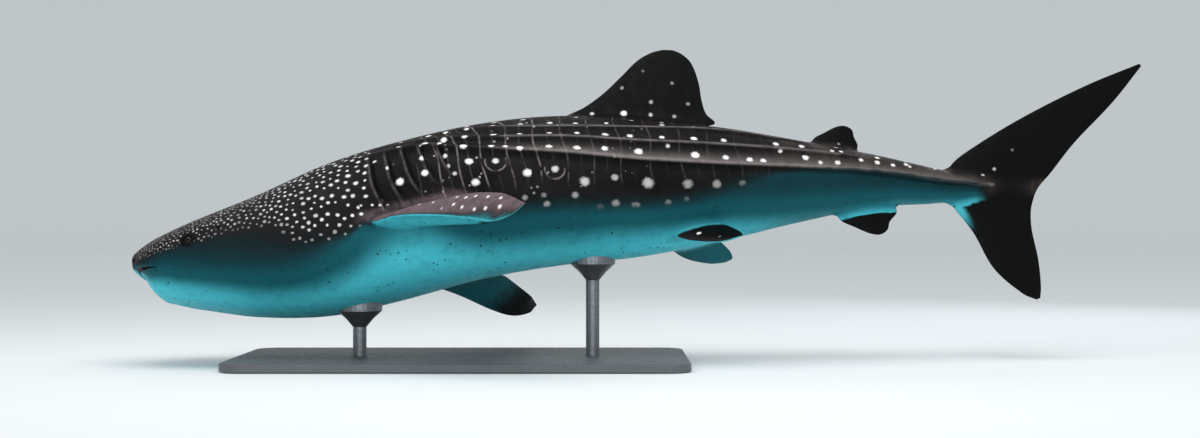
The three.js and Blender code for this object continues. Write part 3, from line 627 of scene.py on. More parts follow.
# Markings
marks = {
    "seed": 11,
    # where the dark back ends, by s: angle from the midline and how soft the change is, in degrees
    "darkEdge": [[.0, 97, 5], [.11, 95, 5], [.3, 90, 9], [.452, 90, 12], [.74, 96, 15], [.93, 101, 15],
                 [1.13, 106, 11], [1.38, 107, 9], [1.5, 105, 5], [1.6, 99.5, 3], [1.75, 97.5, 3],
                 [2.0, 99, 3], [2.15, 104, 4], [2.35, 111, 6], [2.84, 116, 9], [3.42, 118, 9],
                 [3.75, 116, 10], [3.95, 109, 10], [4.15, 99, 8], [4.35, 91, 3], [4.7, 87.5, 2],
                 [5.4, 88, 2], [5.88, 89, 2]],
    # where the painted light from below starts to brighten the side towards the belly, by s
    "underFrom": [[0, 84], [.3, 88], [.6, 94], [1.1, 102], [2.5, 103], [5.88, 103]], "underSpan": 68,
    # dense small spots of the head: tries, stretch of s, and by s their last angle, pitch and radius
    "darts": 60000, "dartFrom": .02, "dartSpan": 1.6, "dartPower": .85, "dartTurn": .62,
    "headEdge": [[0, 91], [.3, 86], [.513, 83], [.765, 81], [.95, 84], [1.08, 93], [1.2, 101], [1.6, 104]],
    "headPitch": [[0, .017], [.3, .0205], [.6, .0255], [1.0, .034], [1.3, .044], [1.6, .056]],
    "headRadius": [[0, .0046], [.3, .0056], [.6, .0068], [1.0, .0088], [1.3, .0108], [1.6, .0122]],
    # s of the columns that the rows of larger spots share
    "columns": [1.80, 1.96, 2.09, 2.23, 2.40, 2.58, 2.765, 2.945, 3.12, 3.31, 3.52, 3.71, 3.90, 4.09, 4.27,
                4.46, 4.71, 4.96, 5.17, 5.36, 5.52],
    # rows of larger spots: radius, strength, first and last s, where it pales, kept share, angle along s
    "tracks": [
        (.014, .8, 0, 2.7, 9, .9, [[1.6, 9], [2.6, 13], [3.0, 13]]),
        (.015, .8, 0, 3.7, 9, .85, [[1.6, 18], [2.2, 26], [2.7, 31], [3.0, 29], [3.6, 24]]),
        (.0175, .95, 0, 5.4, 9, .95, [[1.6, 27], [2.2, 35], [2.6, 41], [2.92, 44], [3.1, 41], [3.7, 34.5],
                                      [4.07, 33], [4.5, 28], [5.4, 30]]),
        (.0195, 1, 0, 5.2, 9, .97, [[1.6, 38], [2.0, 46], [2.3, 52], [2.57, 56.5], [2.93, 58], [3.3, 58],
                                    [3.7, 57.5], [4.09, 54], [4.44, 48], [4.8, 46], [5.4, 50]]),
        (.0225, 1, 0, 5.6, 9, 1, [[1.6, 52], [1.96, 60], [2.21, 61], [2.4, 64.5], [2.6, 68], [2.8, 70],
                                  [3.14, 71.5], [3.35, 74], [3.72, 75.5], [4.1, 78], [4.47, 76], [4.72, 73],
                                  [5.0, 71], [5.5, 74]]),
        (.029, .95, 0, 4.2, 3.75, .86, [[1.6, 76], [1.82, 79.5], [2.1, 75.5], [2.44, 79], [2.64, 89],
                                        [2.8, 90], [3.0, 99], [3.41, 100.5], [4.0, 103]]),
        (.017, .55, 0, 3.5, 9, .6, [[1.6, 90], [2.3, 92], [2.8, 99], [3.0, 90], [3.6, 92]]),
        (.026, .42, 2.3, 3.75, 9, .85, [[2.0, 103], [2.75, 110], [3.1, 115], [3.36, 117], [3.6, 118]])],
    "leftTracks": 4,  # the left side has only the first four rows, and the spots below instead of the others
    # s, angle, radius, strength
    "leftSpots": [
        [1.64, 54, .015, .7], [1.74, 66, .016, .9], [1.82, 79.3, .025, 1], [1.93, 51, .016, .8],
        [1.96, 64.7, .021, 1], [1.98, 77.6, .022, 1], [2.055, 50.7, .016, .8], [2.10, 65.7, .018, .85],
        [2.125, 75.4, .015, .8], [2.17, 82.6, .014, .6], [2.22, 62.6, .021, .95], [2.26, 75.2, .024, 1],
        [2.305, 91.4, .024, .9], [2.40, 66.2, .019, .95], [2.43, 78.3, .021, .7], [2.49, 68.2, .017, .85],
        [2.585, 71.4, .020, .95], [2.77, 71, .021, .95], [2.95, 72.8, .022, 1], [3.13, 72, .020, .95],
        [3.35, 73.5, .026, 1], [3.54, 66.8, .014, .6], [3.72, 75.8, .025, 1], [3.92, 77.6, .020, .8],
        [4.08, 79.4, .021, .9], [4.17, 80, .019, .85], [4.29, 64, .015, .7], [4.46, 70.5, .021, 1],
        [4.56, 77, .015, .75], [4.65, 48, .015, .7], [4.68, 74.6, .018, .8], [4.845, 62.6, .016, .8],
        [4.96, 63, .018, .95], [5.07, 62.8, .015, .85], [5.19, 54.7, .013, .75], [5.38, 34, .011, .6],
        [2.635, 89.9, .026, .95], [2.81, 88.9, .023, .6], [3.0, 99, .029, 1], [3.195, 95.7, .022, .4],
        [3.41, 100.3, .034, .85], [3.67, 102.5, .031, .55], [3.86, 103.8, .027, .5], [4.03, 104.5, .022, .3],
        [2.62, 107.3, .018, .5], [2.74, 107.2, .017, .35], [2.76, 114, .021, .55], [2.94, 109, .021, .55],
        [3.10, 119.5, .024, .5], [3.20, 116, .025, .5], [3.33, 118.5, .026, .5], [3.54, 118, .022, .4],
        [3.66, 116, .018, .25], [1.65, 90.5, .009, .8], [1.70, 91.5, .009, .7], [1.75, 92.5, .010, .8],
        [1.80, 93.8, .010, .8], [1.85, 95.4, .010, .7], [1.905, 96.2, .010, .7], [1.56, 90, .011, .7]],
    "freckles": 170,
    "loops": [[2.43, 78.3, .070], [2.81, 88.9, .065]],  # pale loops round two spots: s, angle, radius
}
rng = np.random.default_rng(marks["seed"])


def headSpots():
    # darts on both sides, each kept where it is clear of the ones before by the pitch at its s
    count = marks["darts"]
    s = marks["dartFrom"] + marks["dartSpan"] * rng.random(count) ** marks["dartPower"]
    angle = np.degrees(np.arccos(1 - 2 * rng.random(count) * marks["dartTurn"]))
    side = np.where(rng.random(count) < .5, -1.0, 1.0)
    limit = readRows(marks["headEdge"], s)
    keep = (angle < limit) & (s < 1.60 + .0014 * (angle - 44))
    s, angle, side, limit = s[keep], angle[keep], side[keep], limit[keep]
    places = skinPoint(s, angle, side)
    pitch = np.interp(s, *np.array(marks["headPitch"]).T)
    radius = np.interp(s, *np.array(marks["headRadius"]).T) * rng.uniform(.7, 1.3, len(s))
    taken, chosen = np.empty((6000, 3)), []
    for k in range(len(s)):
        n = len(chosen)
        if n == 0 or np.min(np.sum((taken[:n] - places[k]) ** 2, 1)) > pitch[k] ** 2:
            taken[n] = places[k]
            chosen.append(k)
    s, angle, side, limit, radius = (a[chosen] for a in (s, angle, side, limit, radius))
    strength = rng.uniform(.22, .54, len(s)) + .30 * ease((s - .5) / .8)
    strength = np.minimum(strength, 1) * (1 - .65 * ease((angle - limit + 12) / 12))
    return [s, angle, side, radius, rng.uniform(1, 1.35, len(s)), strength]


def rowSpots():
    # rows between the ridges, in columns that all rows share, and the left side's own spots
    found, n = [], len(marks["columns"])
    for side in (-1.0, 1.0):
        shift = rng.normal(0, .008, n)
        tracks = marks["tracks"][:marks["leftTracks"]] if side < 0 else marks["tracks"]
        for radius, strength, first, last, pales, kept, angles in tracks:
            s = np.array(marks["columns"]) + shift + rng.normal(0, .010, n)
            s = s[(s > first) & (s < last) & (rng.random(n) < kept)]
            angle = readRows(angles, s) + rng.normal(0, .7, len(s))
            radius = radius * np.interp(s, [1.6, 3.0, 4.2, 5.5], [1.0, 1.0, .92, .7])
            radius = radius * rng.uniform(.82, 1.18, len(s))
            stretch = rng.uniform(.9, 1.25, len(s))
            strength = strength * (1 - .8 * ease((s - pales) / .45)) * rng.uniform(.75, 1.0, len(s))
            found.append([s, angle, np.full(len(s), side), radius, stretch, strength])
    s, angle, radius, strength = np.array(marks["leftSpots"]).T
    strength = strength * (1 - .48 * ease((angle - 95) / 4) * ease((s - 2.5) / .1))
    return found + [[s, angle, np.full(len(s), -1.0), radius, np.full(len(s), 1.12), strength]]


def freckles():
    # small faint spots strewn between the rows
    n = marks["freckles"]
    s = rng.uniform(1.62, 3.6, n)
    return [s, rng.uniform(6, 112, n), np.where(rng.random(n) < .5, -1.0, 1.0), rng.uniform(.005, .010, n),
            np.ones(n), rng.uniform(.1, .4, n) * (1 - ease((s - 2.8) / .8))]


spotLists = [headSpots(), *rowSpots(), freckles()]
spots = np.concatenate(spotLists, 1)
print("spots:", len(spots[0]))


def finPlace(name, points):
    # share of the span v and of the chord c of points on a fin, v stepped towards (value - at) / slope
    fin = fins[name]
    axis = 1 if name.startswith("pe") else 2
    grid = np.linspace(0, 1, 400)
    reach = np.abs((readRows(fin["rows"], grid, axis + 1) + readRows(fin["rows"], grid, axis + 4)) / 2)
    value = np.abs(points[:, axis])
    order = np.argsort(reach)
    v = np.interp(value, reach[order], grid[order])
    for _ in range(3):
        lead, trail = finEdges(fin, v)
        chord = trail - lead
        c = np.clip(np.sum((points - lead) * chord, 1) / np.maximum(np.sum(chord**2, 1), 1e-8), 0, 1)
        slope = (np.interp(v + .01, grid, reach) - np.interp(v - .01, grid, reach)) / .02
        at = np.abs(lead[:, axis] + chord[:, axis] * c)
        v = np.clip(v + .7 * (value - at) / np.where(np.abs(slope) < .05, .05, slope), 0, 1)
    return v, c


# spots of the fins: s, height (or distance from the midline for paired fins), radius, strength
finMarks = {
    "dorsalFirst": [[2.90, 1.330, .014, .6], [3.045, 1.352, .016, .55], [3.26, 1.355, .022, .95],
                    [3.44, 1.347, .015, .5], [3.60, 1.34, .014, .35], [3.444, 1.441, .015, .35],
                    [3.695, 1.434, .014, .28], [3.248, 1.544, .014, .26], [3.588, 1.581, .013, .22],
                    [3.39, 1.666, .012, .12]],
    "dorsalSecond": [[4.62, 1.13, .013, .4], [4.72, 1.15, .012, .25]],
    "pectoral": [[2.23, 1.04, .013, .7], [2.29, 1.11, .014, .75], [2.35, 1.165, .015, .8],
                 [2.43, 1.25, .014, .75], [2.51, 1.325, .014, .7], [2.14, 1.03, .013, .65],
                 [2.21, 1.09, .014, .8], [2.27, 1.15, .014, .75], [2.35, 1.23, .014, .75],
                 [2.42, 1.285, .015, .8], [2.51, 1.35, .016, .9], [2.07, .94, .013, .6],
                 [1.98, .86, .012, .5], [1.90, .72, .012, .5], [2.10, .74, .016, .55], [2.22, .86, .016, .55],
                 [2.0, .70, .013, .45], [2.32, .98, .016, .5]],
    "pelvic": [[3.74, .32, .017, .8], [3.685, .27, .011, .15], [3.87, .41, .011, .12]],
    "caudal": [[5.66, .90, .015, .7], [5.72, .925, .015, .6], [5.81, .98, .013, .4], [5.95, 1.12, .012, .15]],
}
# where the points of each fin are: from s, to s and side of the body. Where two overlap the later one wins.
finWhere = {
    "pectoralLeft": (0, 2.9, "left"), "pectoralRight": (0, 2.9, "right"), "dorsalFirst": (2.5, 4.2, "above"),
    "pelvicLeft": (3.2, 4.2, "below", "left"), "pelvicRight": (3.2, 4.2, "below", "right"),
    "dorsalSecond": (4.2, 5.2, "above"), "anal": (4.2, 5.38, "below"), "caudal": (5.38, 9),
}


def nearestSpots(centres, places, radii):
    # for each face the spot with the least d^2 - 1.5 r^2, in blocks of faces
    chosen = np.empty(len(centres), np.int64)
    weight = np.sum(places**2, 1) - 1.5 * radii**2
    for k in range(0, len(centres), 4000):
        block = centres[k:k + 4000]
        chosen[k:k + 4000] = np.argmin(weight[None] - 2 * block @ places.T, 1)
    return chosen


def addAttribute(mesh, name, domain, values):
    isVector = values.ndim > 1
    layer = mesh.attributes.new(name, "FLOAT_VECTOR" if isVector else "FLOAT", domain)
    layer.data.foreach_set("vector" if isVector else "value", np.asarray(values, np.float32).ravel())


def finRegions(s, flat):
    # for each fin, which points are in its stretch of s and on its side
    middle = centreHeight(s)
    tests = {"left": flat[:, 1] < 0, "right": flat[:, 1] > 0, "above": flat[:, 2] > middle,
             "below": flat[:, 2] < middle}
    return {name: np.all([s >= low, s < high] + [tests[word] for word in words], 0)
            for name, (low, high, *words) in finWhere.items()}


def finTones(name, v, c, up):
    # edge value and painted light on the upper face at shares v and c of a fin: the paired fins are dark
    # above and pale below
    edge, topLight = np.full(len(v), 1.5), np.zeros(len(v))
    if name.startswith("pectoral"):
        # a dark tip; on the right fin, which hangs away lower, the dark reaches in from half the span as
        # painted shade over its underside
        tip = ease((v - .8) / .2) if name.endswith("Left") else ease((v - .52) / .40)
        # and painted shade at the inner rear corner of the underside
        dark = np.maximum(tip, bell((v - .24) / .08) * ease((c - .84) / .12))
        edge = np.where(up > 0, np.clip(up * 6 - .5, -1.3, 1.5), -1.3 + 2.6 * dark)
        # upward faces painted lighter brown: painted light from above
        topLight = ease(up * 3)
    elif name.startswith("pelvic"):
        edge = np.clip(up * 5, -1.3, 1.5)
        # painted light from above on the front of the upward face
        topLight = .35 * ease(.4 - c) * ease(up * 3)
    elif name == "anal":
        edge = 1.5 - 2.6 * (1 - ease((v - .25) / .3)) * (1 - ease((c - .1) / .25))
    elif name == "caudal":
        edge = 1.5 - 2.8 * bell((v - .42) / .07) * (1 - ease((c - .02) / .2))
    return edge, topLight


def darkAndPale(points, flat, s, angle, share, upward, regions):
    # edge: how far inside the dark area, 1 fully dark and -1 fully pale; under: how bright the belly is,
    # painted light from below
    edge = (readRows(marks["darkEdge"], s) - angle) / readRows(marks["darkEdge"], s, 2)
    under = ease((angle - readRows(marks["underFrom"], s)) / marks["underSpan"])
    # painted light from below: brighter under the pectoral roots, dimmer towards the tail
    under += .6 * bell((s - 1.85) / .38) * ease((angle - 99) / 6)
    under = np.minimum(under, 1) * (1 - .45 * ease((s - 3.7) / .9))
    finTopLight = np.zeros(len(s))
    for name, region in regions.items():
        on = np.nonzero(region & finOnly)[0]
        if not len(on):
            continue
        finEdge, topLight = finTones(name, *finPlace(name, flat[on]), upward[on])
        edge[on] = edge[on] * (1 - share[on]) + finEdge * share[on]
        # the underside of the right fin gets less of the painted light from below: painted shade
        under[on] = under[on] * (1 - share[on]) + (.46 if name.endswith("Right") else .85) * share[on]
        finTopLight[on] = np.maximum(finTopLight[on], topLight)
    # the tail stem darkens towards the fork, and painted shade lies on the upper lip over the gape
    edge = np.maximum(edge, -3 + 4.6 * ease((s - 5.50) / .32))
    lipShade = bell((flat[:, 2] - .287) / .020) * (1 - ease((s - .13) / .10))
    edge = np.maximum(edge, -3 + 4.2 * lipShade)
    # the skin above the pectoral roots is made dark and gets the same painted light from above as the fins'
    # upper faces
    rootSeam = points[onSeam & (regions["pectoralLeft"] | regions["pectoralRight"])]
    rootTone = ease(1.25 - nearestGap(points, rootSeam, .1) / .08)
    rootTone = rootTone * ease((107 - angle) / 8) * ease((angle - 91.5) / 4) * ~finOnly
    return np.maximum(edge, -3 + 4 * rootTone), under, np.maximum(finTopLight * share, .8 * rootTone)


def ridgeMarks(s, angle, girth):
    # distance to the nearest crest, shade in the troughs, and a painted highlight along the lowest ridge
    crestGap, hollow = np.full(len(s), .1), np.zeros(len(s))
    late = ease((s - 1.95) / .6)
    for k in range(3):
        off = angle - ridgeAngle(k, s)
        grown = clip01(ridgeHeight(k, s) / (.7 * body["ridges"][k][0]))
        crestGap = np.minimum(crestGap, np.abs(off) * girth + (1 - grown * late) * .05)
        hollow = np.maximum(hollow, bell((off - 4.2) / 2.2) * grown * (.85 if k == 2 else .45) * late)
    band = grown * np.where(off < 0, bell(off * girth / .05), ease(1 - off / 1.5))
    return crestGap, hollow, band * ease((s - 2.2) / .8) * (1 - ease((s - 5.5) / .3))


def gillMarks(s, angle, hollow):
    # painted shade in each slit, a painted highlight on the free edge before it, shade behind it
    slit, rim = np.zeros(len(s)), np.zeros(len(s))
    for k in range(gills["count"]):
        back, along = gillPlace(k, s, angle)
        slit = np.maximum(slit, along * ease((back + .003) / .004) * ease((.016 - back) / .012))
        rim = np.maximum(rim, along * bell((back + .008) / .007))
        deep = .35 if k else .75
        hollow = np.maximum(hollow, deep * along * ease(back / .01) * ease((.075 - back) / .06))
    return slit, rim, hollow


def pits(flat, s, over):
    # painted shade inside the cuts of the head and at the snout's tip over the gape, and darker round each
    # eye
    pit = ease((-over - .006) / .010) * (s < .75)
    pit = np.maximum(pit, .85 * (1 - ease((s - .06) / .05)) * bell((flat[:, 2] - .322) / .026))
    for side in (-1, 1):
        pit = np.maximum(pit, .95 * ease((.062 - np.linalg.norm(flat - eyeCentre(side), axis=1)) / .022))
    return pit


def finSpots(name, region, centres, flat, corners, faceOf, upward):
    # place and strength of the nearest spot for the corners of one fin's faces
    table = np.array(finMarks[name.replace("Left", "").replace("Right", "")])
    isPaired = name.startswith("pe")
    middles = np.zeros((len(table), 3))
    middles[:, 0] = table[:, 0]
    middles[:, 1 if isPaired else 2] = table[:, 1] * (-1 if name.endswith("Left") else 1)
    if isPaired:
        # these spots sit on the upper face, at the height of the nearest point seen from above
        top = flat[region & finOnly & (upward > .1)]
        gap = np.sum((top[None, :, :2] - middles[:, None, :2]) ** 2, 2)
        middles[:, 2] = top[np.argmin(gap, 1), 2]
    else:
        centres = centres * [1, 0, 1]
    faces = np.unique(faceOf)
    nearest = np.zeros(len(centres), np.int64)
    nearest[faces] = nearestSpots(centres[faces], middles, table[:, 2])
    chosen = nearest[faceOf]
    offset = (flat[corners] - middles[chosen]) / table[chosen, 2:3]
    if isPaired:
        return offset, table[chosen, 3] * ease(upward[corners] * 3)
    offset[:, 1] = 0
    return offset, table[chosen, 3]


def bars(s, angle, flat, corners, centres, faceOf, faceMean):
    # thin pale bars on and between the columns, |distance| / half width, and a few loops round flank spots
    lean = np.interp(s, [1.6, 1.85, 2.15, 2.6, 3.4], [.0026, .0034, .0026, .0014, .0008])
    barS = s - lean * (angle - 60) + .012 * np.sin(angle / 9 + 5 * s)
    columns = np.array(marks["columns"])
    stops = np.sort(np.concatenate([(columns[:-1] + columns[1:]) / 2, columns]))
    which = np.argmin(np.abs(faceMean(barS)[:, None] - stops), 1)[faceOf]
    bar = (barS[corners] - stops[which]) / .0055
    fade = np.interp(s[corners], [1.9, 2.1, 2.6, 2.95, 3.8, 4.6], [0, 1, .9, .38, .2, 0])
    span = ease((angle[corners] - 6) / 14) * ease((104 - angle[corners]) / 12)
    strong = np.where(which % 2 == 1, .8, .16) * fade * span
    for loopS, loopAngle, radius in marks["loops"]:
        for side in (-1, 1):
            centre = skinPoint(loopS, loopAngle, side)
            gap = np.linalg.norm(centres - centre, axis=1)
            on = ((gap < radius + .022) & (centres[:, 2] < centre[2] + .3 * radius))[faceOf]
            bar[on] = (np.linalg.norm(flat[corners][on] - centre, axis=1) - radius) / .0055
            strong[on] = .8
    return bar, strong


def paintSkin(mesh):
    points, corners, sizes, kinds = readMesh(mesh)
    normals = readColumn(mesh.vertex_normals, "vector", 3, np.float32)
    upward = normals[:, 1] * math.sin(pose["bank"]) + normals[:, 2] * math.cos(pose["bank"])
    flat = unbend(points)
    s, angle, over = skinPlace(flat)
    regions = finRegions(s, flat)
    share = np.where(finOnly, ease(over / .06), 0)
    onBody = 1 - share
    edge, under, finTopLight = darkAndPale(points, flat, s, angle, share, upward, regions)
    girth = np.hypot(flat[:, 1], flat[:, 2] - centreHeight(s)) * np.pi / 180
    crestGap, hollow, band = ridgeMarks(s, angle, girth)
    slit, rim, hollow = gillMarks(s, angle, hollow)
    layers = {
        "edge": np.clip(edge, -3, 3), "under": under, "crestGap": crestGap + share * .1,
        "hollow": hollow * onBody, "slit": np.maximum(slit * onBody, pits(flat, s, over)),
        "rim": rim * onBody, "band": band * onBody, "finShare": share, "finTopLight": finTopLight,
        "headShare": 1 - ease((s - .9) / 1.1), "tailTone": ease((s - 3.9) / .9) * onBody}
    for name, values in layers.items():
        addAttribute(mesh, name, "POINT", values)

    # spots and bars, on face corners so that their edges stay sharp
    faceOf = np.repeat(np.arange(len(sizes)), sizes)

    def faceMean(values):
        return np.bincount(faceOf, values[corners], len(sizes)) / sizes

    centres = np.stack([faceMean(flat[:, k]) for k in range(3)], -1)
    cornerFin = ((kinds == 1) & (faceMean(share) > .35))[faceOf]
    spotS, spotAngle, spotSide, radius, stretch, strength = spots
    places = skinPoint(spotS, spotAngle, spotSide)
    near = nearestSpots(centres, places, radius)[faceOf]
    spot = (flat[corners] - places[near]) / radius[near][:, None]
    spot[:, 0] /= stretch[near]
    amount = strength[near]
    spot[cornerFin] = 9.0
    for name, region in regions.items():
        if name != "anal":  # the anal fin is plain
            on = np.nonzero(cornerFin & region[corners])[0]
            spot[on], amount[on] = finSpots(name, region, centres, flat, corners[on], faceOf[on], upward)
    bar, strong = bars(s, angle, flat, corners, centres, faceOf, faceMean)
    layers = {"spot": np.clip(spot, -9, 9), "spotAmount": amount, "bar": np.clip(bar, -9, 9),
              "barAmount": strong * onBody[corners]}
    for name, values in layers.items():
        addAttribute(mesh, name, "CORNER", values)
    mesh.polygons.foreach_set("material_index", np.zeros(len(sizes), np.int32))
    mesh.polygons.foreach_set("use_smooth", np.ones(len(sizes), bool))
    mesh.update()


paintSkin(shark.data)
print("skin marked:", sum(len(p.vertices) - 2 for p in shark.data.polygons), "triangles")


def linear(word):
    # sRGB hex to linear: ((c + 0.055) / 1.055)^2.4
    values = [int(word[k:k + 2], 16) / 255 for k in (1, 3, 5)]
    return [v / 12.92 if v <= .04045 else ((v + .055) / 1.055) ** 2.4 for v in values] + [1.0]


class Graph:
    # short hand for a material's nodes: each call adds one and gives its output socket
    def __init__(self, name):
        self.material = bpy.data.materials.new(name)
        self.material.use_nodes = True
        self.tree = self.material.node_tree

    def fill(self, node, inputs):
        for key, value in inputs.items():
            if isinstance(value, bpy.types.NodeSocket):
                self.tree.links.new(value, node.inputs[key])
            else:
                node.inputs[key].default_value = value

    def node(self, kind, output, inputs, **settings):
        made = self.tree.nodes.new("ShaderNode" + kind)
        for name, value in settings.items():
            setattr(made, name, value)
        self.fill(made, inputs)
        return made.outputs[output]

    def finish(self, inputs):
        # onto the shader's own sockets
        self.fill(self.tree.nodes["Principled BSDF"], inputs)
        return self.material

    def math(self, operation, a, b=0.0, c=0.0):
        return self.node("Math", 0, {0: a, 1: b, 2: c}, operation=operation)

    def times(self, value, *others):
        for other in others:
            value = self.math("MULTIPLY", value, other)
        return value

    def scaled(self, value, by, plus):
        return self.math("MULTIPLY_ADD", value, by, plus)

    def ramp(self, value, low, high, lowOut=0.0, highOut=1.0):
        values = dict(enumerate((value, low, high, lowOut, highOut)))
        return self.node("MapRange", 0, values, interpolation_type="SMOOTHSTEP")

    def layers(self, colour, *rows):
        # each row's colour laid over what is below it, by its share
        for share, over in rows:
            colour = self.node("Mix", 2, {0: share, 6: colour, 7: over}, data_type="RGBA")
        return colour

    def read(self, name):
        return self.node("Attribute", 2, {}, attribute_name=name)

    def place(self, sizes=None):
        where = self.node("TexCoord", "Object", {})
        return self.node("Mapping", 0, {"Vector": where, "Scale": sizes}) if sizes else where

    def noise(self, scale, detail, output=0, sizes=None):
        return self.node("TexNoise", output, {"Vector": self.place(sizes), "Scale": scale, "Detail": detail,
                                              "Roughness": .55})

    def bump(self, height, distance, strength, **below):
        return self.node("Bump", 0, {"Distance": distance, "Strength": strength, "Height": height, **below})


# flank, side and belly: the teal of the pale underside, painted light from below, dark at the flank and
# bright low down
skinColours = {
    "back": "#0a0808", "backSoft": "#161313", "head": "#221e20", "fin": "#050505", "finUpper": "#66565a",
    "tail": "#3c3532", "spot": "#f6f4f2", "crest": "#857d7b", "cheek": "#0c1517", "flank": "#082a30",
    "side": "#0e4f58", "belly": "#4cc2d1", "cloud": "#0e4b56", "speckle": "#08272e", "slit": "#040405",
}


def skinMaterial():
    g = Graph("sharkSkin")
    tint = {name: linear(word) for name, word in skinColours.items()}
    cloudy, mottle, fine = g.noise(2.2, 4), g.noise(14, 5), g.noise(95, 4)
    edge = g.math("ADD", g.read("edge"), g.scaled(mottle, 1.1, -.55))
    edge = g.math("ADD", edge, g.scaled(fine, .6, -.3))
    dark = g.ramp(edge, -1.0, 1.0)

    upright = g.ramp(g.noise(3.2, 3, sizes=(3.2, 1, .35)), .38, .62)
    back = g.layers(
        tint["back"], (g.ramp(cloudy, .35, .68), tint["backSoft"]),
        (g.times(g.read("headShare"), .8), tint["head"]),
        (g.times(g.read("tailTone"), g.scaled(upright, .65, .2)), tint["tail"]),
        # painted highlight along the upper slope of the lowest ridge
        (g.times(g.read("band"), g.ramp(mottle, .3, .65, .35, .75)), tint["crest"]),
        (g.ramp(mottle, .42, .72, 0, .35), tint["back"]), (g.read("finShare"), tint["fin"]),
        # painted light from above on the upward faces of the paired fins and over the pectoral roots
        (g.times(g.read("finTopLight"), g.ramp(mottle, .3, .65, .7, 1)), tint["finUpper"]),
        (g.ramp(edge, 1.7, .3, 0, .85), tint["cheek"]))
    # the belly runs from dark teal at the flank to bright teal low down: painted light from below
    under = g.math("ADD", g.read("under"), g.scaled(cloudy, .24, -.12))
    dots = g.node("TexVoronoi", 0, {"Vector": g.place(), "Scale": 21})
    belly = g.layers(
        tint["flank"], (g.ramp(under, -.06, .34), tint["side"]), (g.ramp(under, .38, 1.08), tint["belly"]),
        (g.ramp(mottle, .45, .75, 0, .22), tint["cloud"]),
        (g.times(g.ramp(dots, .22, .12), g.ramp(g.noise(4.5, 3), .46, .58, 0, .85)), tint["speckle"]))

    # spots: inside where |spot + wobble| < 1
    wobble = g.node("VectorMath", 0, {0: g.noise(55, 2, output=1), 1: (.7, .7, .7), 2: (-.35, -.35, -.35)},
                    operation="MULTIPLY_ADD")
    place = g.node("Attribute", 1, {}, attribute_name="spot")
    away = g.node("VectorMath", 0, {0: place, 1: wobble}, operation="ADD")
    spot = g.ramp(g.node("VectorMath", "Value", {0: away}, operation="LENGTH"), 1.28, .42)
    spot = g.times(spot, g.read("spotAmount"), g.ramp(dark, .2, .8))
    bar = g.ramp(g.math("ABSOLUTE", g.read("bar")), 1.5, .5)
    bar = g.times(bar, g.read("barAmount"), g.ramp(mottle, .38, .62, .1, .8), dark)
    # pale lines on the ridge crests: partly pale stripes of the skin, partly a painted highlight
    crest = g.times(g.ramp(g.read("crestGap"), .014, .002), .5, g.ramp(mottle, .3, .6, .45, 1.0),
                    g.scaled(dark, .7, .3))
    rim = g.times(g.read("rim"), g.ramp(mottle, .35, .6, .08, .38))
    # painted shade in the ridge troughs, in and behind the gill slits and in the cuts of the head; painted
    # highlights on the free edges of the gill flaps
    colour = g.layers(
        belly, (dark, back), (g.times(g.read("hollow"), .7), tint["slit"]), (crest, tint["crest"]),
        (bar, tint["crest"]), (rim, tint["crest"]), (spot, tint["spot"]), (g.read("slit"), tint["slit"]))
    grain = g.bump(g.noise(420, 3), .0015, .5)
    return g.finish({"Base Color": colour, "Roughness": g.ramp(mottle, .3, .7, .44, .60),
                     "Specular IOR Level": .07, "Normal": g.bump(g.noise(38, 4), .006, .45, Normal=grain)})


def eyeMaterial():
    # rings about the outward axis are read from the point attribute "ring", 0 at the middle of the pupil
    g = Graph("eyeGlass")
    ring = g.read("ring")
    iris = g.layers(linear("#0d0b0a"), (g.ramp(g.noise(900, 2), .4, .7), linear("#1d1815")))
    colour = g.layers(linear("#020203"), (g.ramp(ring, .48, .54), iris),
                      (g.ramp(ring, .74, .84), linear("#0b0b0d")))
    return g.finish({"Base Color": colour, "Roughness": .12, "Specular IOR Level": .12, "Coat Weight": .1,
                     "Coat Roughness": .05})


def steelMaterial():
    g = Graph("rodSteel")
    colour = g.layers(linear("#5e6266"), (g.noise(7, 4, sizes=(1, 1, 9)), linear("#7c8085")))
    return g.finish({"Base Color": colour, "Metallic": .85, "Normal": g.bump(g.noise(240, 2), .0006, .4),
                     "Roughness": g.ramp(g.noise(60, 3), .3, .7, .32, .5)})


def baseMaterial():
    g = Graph("baseLacquer")
    colour = g.layers(linear("#474b4f"), (g.noise(3, 4), linear("#565a5f")),
                      (g.ramp(g.noise(160, 3), .6, .75, 0, .25), linear("#6a6e73")))
    return g.finish({"Base Color": colour, "Roughness": g.ramp(g.noise(30, 3), .3, .7, .42, .6),
                     "Normal": g.bump(g.noise(320, 2), .0008, .5)})


shark.data.materials.clear()
shark.data.materials.append(skinMaterial())
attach(shark, "root")
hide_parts("head", "lower_jaw", "gill_section", "torso", "rear_trunk", "tail_stem",
            "dorsal_fin_first", "dorsal_fin_second", "anal_fin", "caudal_lobe_upper", "caudal_lobe_lower",
            "pectoral_fin_left", "pectoral_fin_right", "pelvic_fin_left", "pelvic_fin_right")
print("skin finished")


def buildEyes():
    glass, radius = eyeMaterial(), face["eyeRadius"]
    for word, side in [("left", -1), ("right", 1)]:
        centre = eyeCentre(side)
        points, faces = ballShell(centre, [radius, radius * face["eyeFlat"], radius], 48)
        eye = addObject("shark_eye_" + word, makeMesh("shark_eye_" + word, points, outward(points, faces)))
        out = unbend(points) - centre
        addAttribute(eye.data, "ring", "POINT", np.arctan2(np.hypot(out[:, 0], out[:, 2]), side * out[:, 1]))
        eye.data.materials.append(glass)
        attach(eye, "root")
        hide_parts("eye_" + word)


buildEyes()

steel, lacquer = steelMaterial(), baseMaterial()
for name in ("stand_base", "stand_rod_front", "stand_rod_rear"):
    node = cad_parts[name]
    node.data.materials.clear()
    node.data.materials.append(lacquer if name == "stand_base" else steel)
print("stand finished")

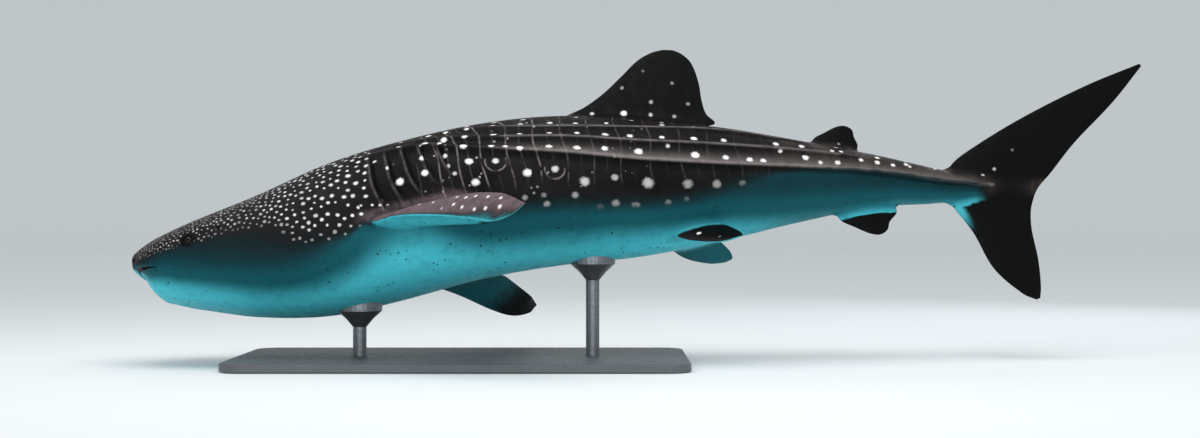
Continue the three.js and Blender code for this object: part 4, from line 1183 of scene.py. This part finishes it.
# Room, light and camera
room = {"half": 75.0, "wall": 46.0, "height": 45.0, "round": 16.0, "steps": 24, "colour": "#e3e6e7",
        "roughness": .9}
light = {
    # place, aim, size, power, colour
    "softTop": ((-1.0, -2.5, 7.0), (0, .2, 1), (9, 4), 380, "#ffffff"),
    "softFront": ((0, -15.0, 1.6), (0, 0, .8), (14, 3), 520, "#ffffff"),
    "softBack": ((5.0, 6.5, 5.0), (1, 0, 1.2), (5, 4), 120, "#f4f8ff"),
}
sky = {"colour": "#e8ecee", "strength": .88}
view = {"lens": 53.9, "sensor": 36, "far": 200, "fromSnout": 3.099, "distance": 12.0, "height": .971}


def buildRoom():
    # floor run into a wall through a quarter circle: (y, z) = (wall + r sin a, r - r cos a)
    a = np.linspace(0, np.pi / 2, room["steps"])
    wall, r, half = room["wall"], room["round"], room["half"]
    y = np.concatenate([[-half], wall + r * np.sin(a), [wall + r]])
    z = np.concatenate([[0], r * (1 - np.cos(a)), [room["height"]]])
    x = np.linspace(-half, half, 9)
    points = np.stack(np.broadcast_arrays(x[:, None], y[None], z[None]), -1)
    quads = gridQuads(len(x), len(y), closedColumns=False)[:, [0, 3, 2, 1]]
    floor = addObject("floor", makeMesh("floor", points.reshape(-1, 3), quads))
    floor.data.materials.append(Graph("floorPaint").finish(
        {"Base Color": linear(room["colour"]), "Roughness": room["roughness"]}))


def addLight(name, place, aim, size, power, colour):
    lamp = bpy.data.lights.new(name, "AREA")
    lamp.shape, lamp.size, lamp.size_y, lamp.energy = "RECTANGLE", size[0], size[1], power
    lamp.color = linear(colour)[:3]
    made = addObject(name, lamp)
    made.location = place
    made.rotation_euler = (Vector(aim) - Vector(place)).to_track_quat("-Z", "Y").to_euler()
    made.visible_camera = False


buildRoom()
for name, values in light.items():
    addLight(name, *values)
world = bpy.data.worlds.new("studio")
bpy.context.scene.world = world
world.use_nodes = True
background = world.node_tree.nodes["Background"]
background.inputs[0].default_value = linear(sky["colour"])
background.inputs[1].default_value = sky["strength"]
bpy.context.scene.view_settings.view_transform = "Standard"

camera = bpy.data.cameras.new("camera")
camera.lens, camera.sensor_width, camera.clip_end = view["lens"], view["sensor"], view["far"]
cameraObject = addObject("camera", camera)
cameraObject.location = (pose["snoutX"] + view["fromSnout"], pose["middleY"] - view["distance"],
                         view["height"])
cameraObject.rotation_euler = (math.radians(90), 0, 0)
bpy.context.scene.camera = cameraObject

print("room, light and camera ready")
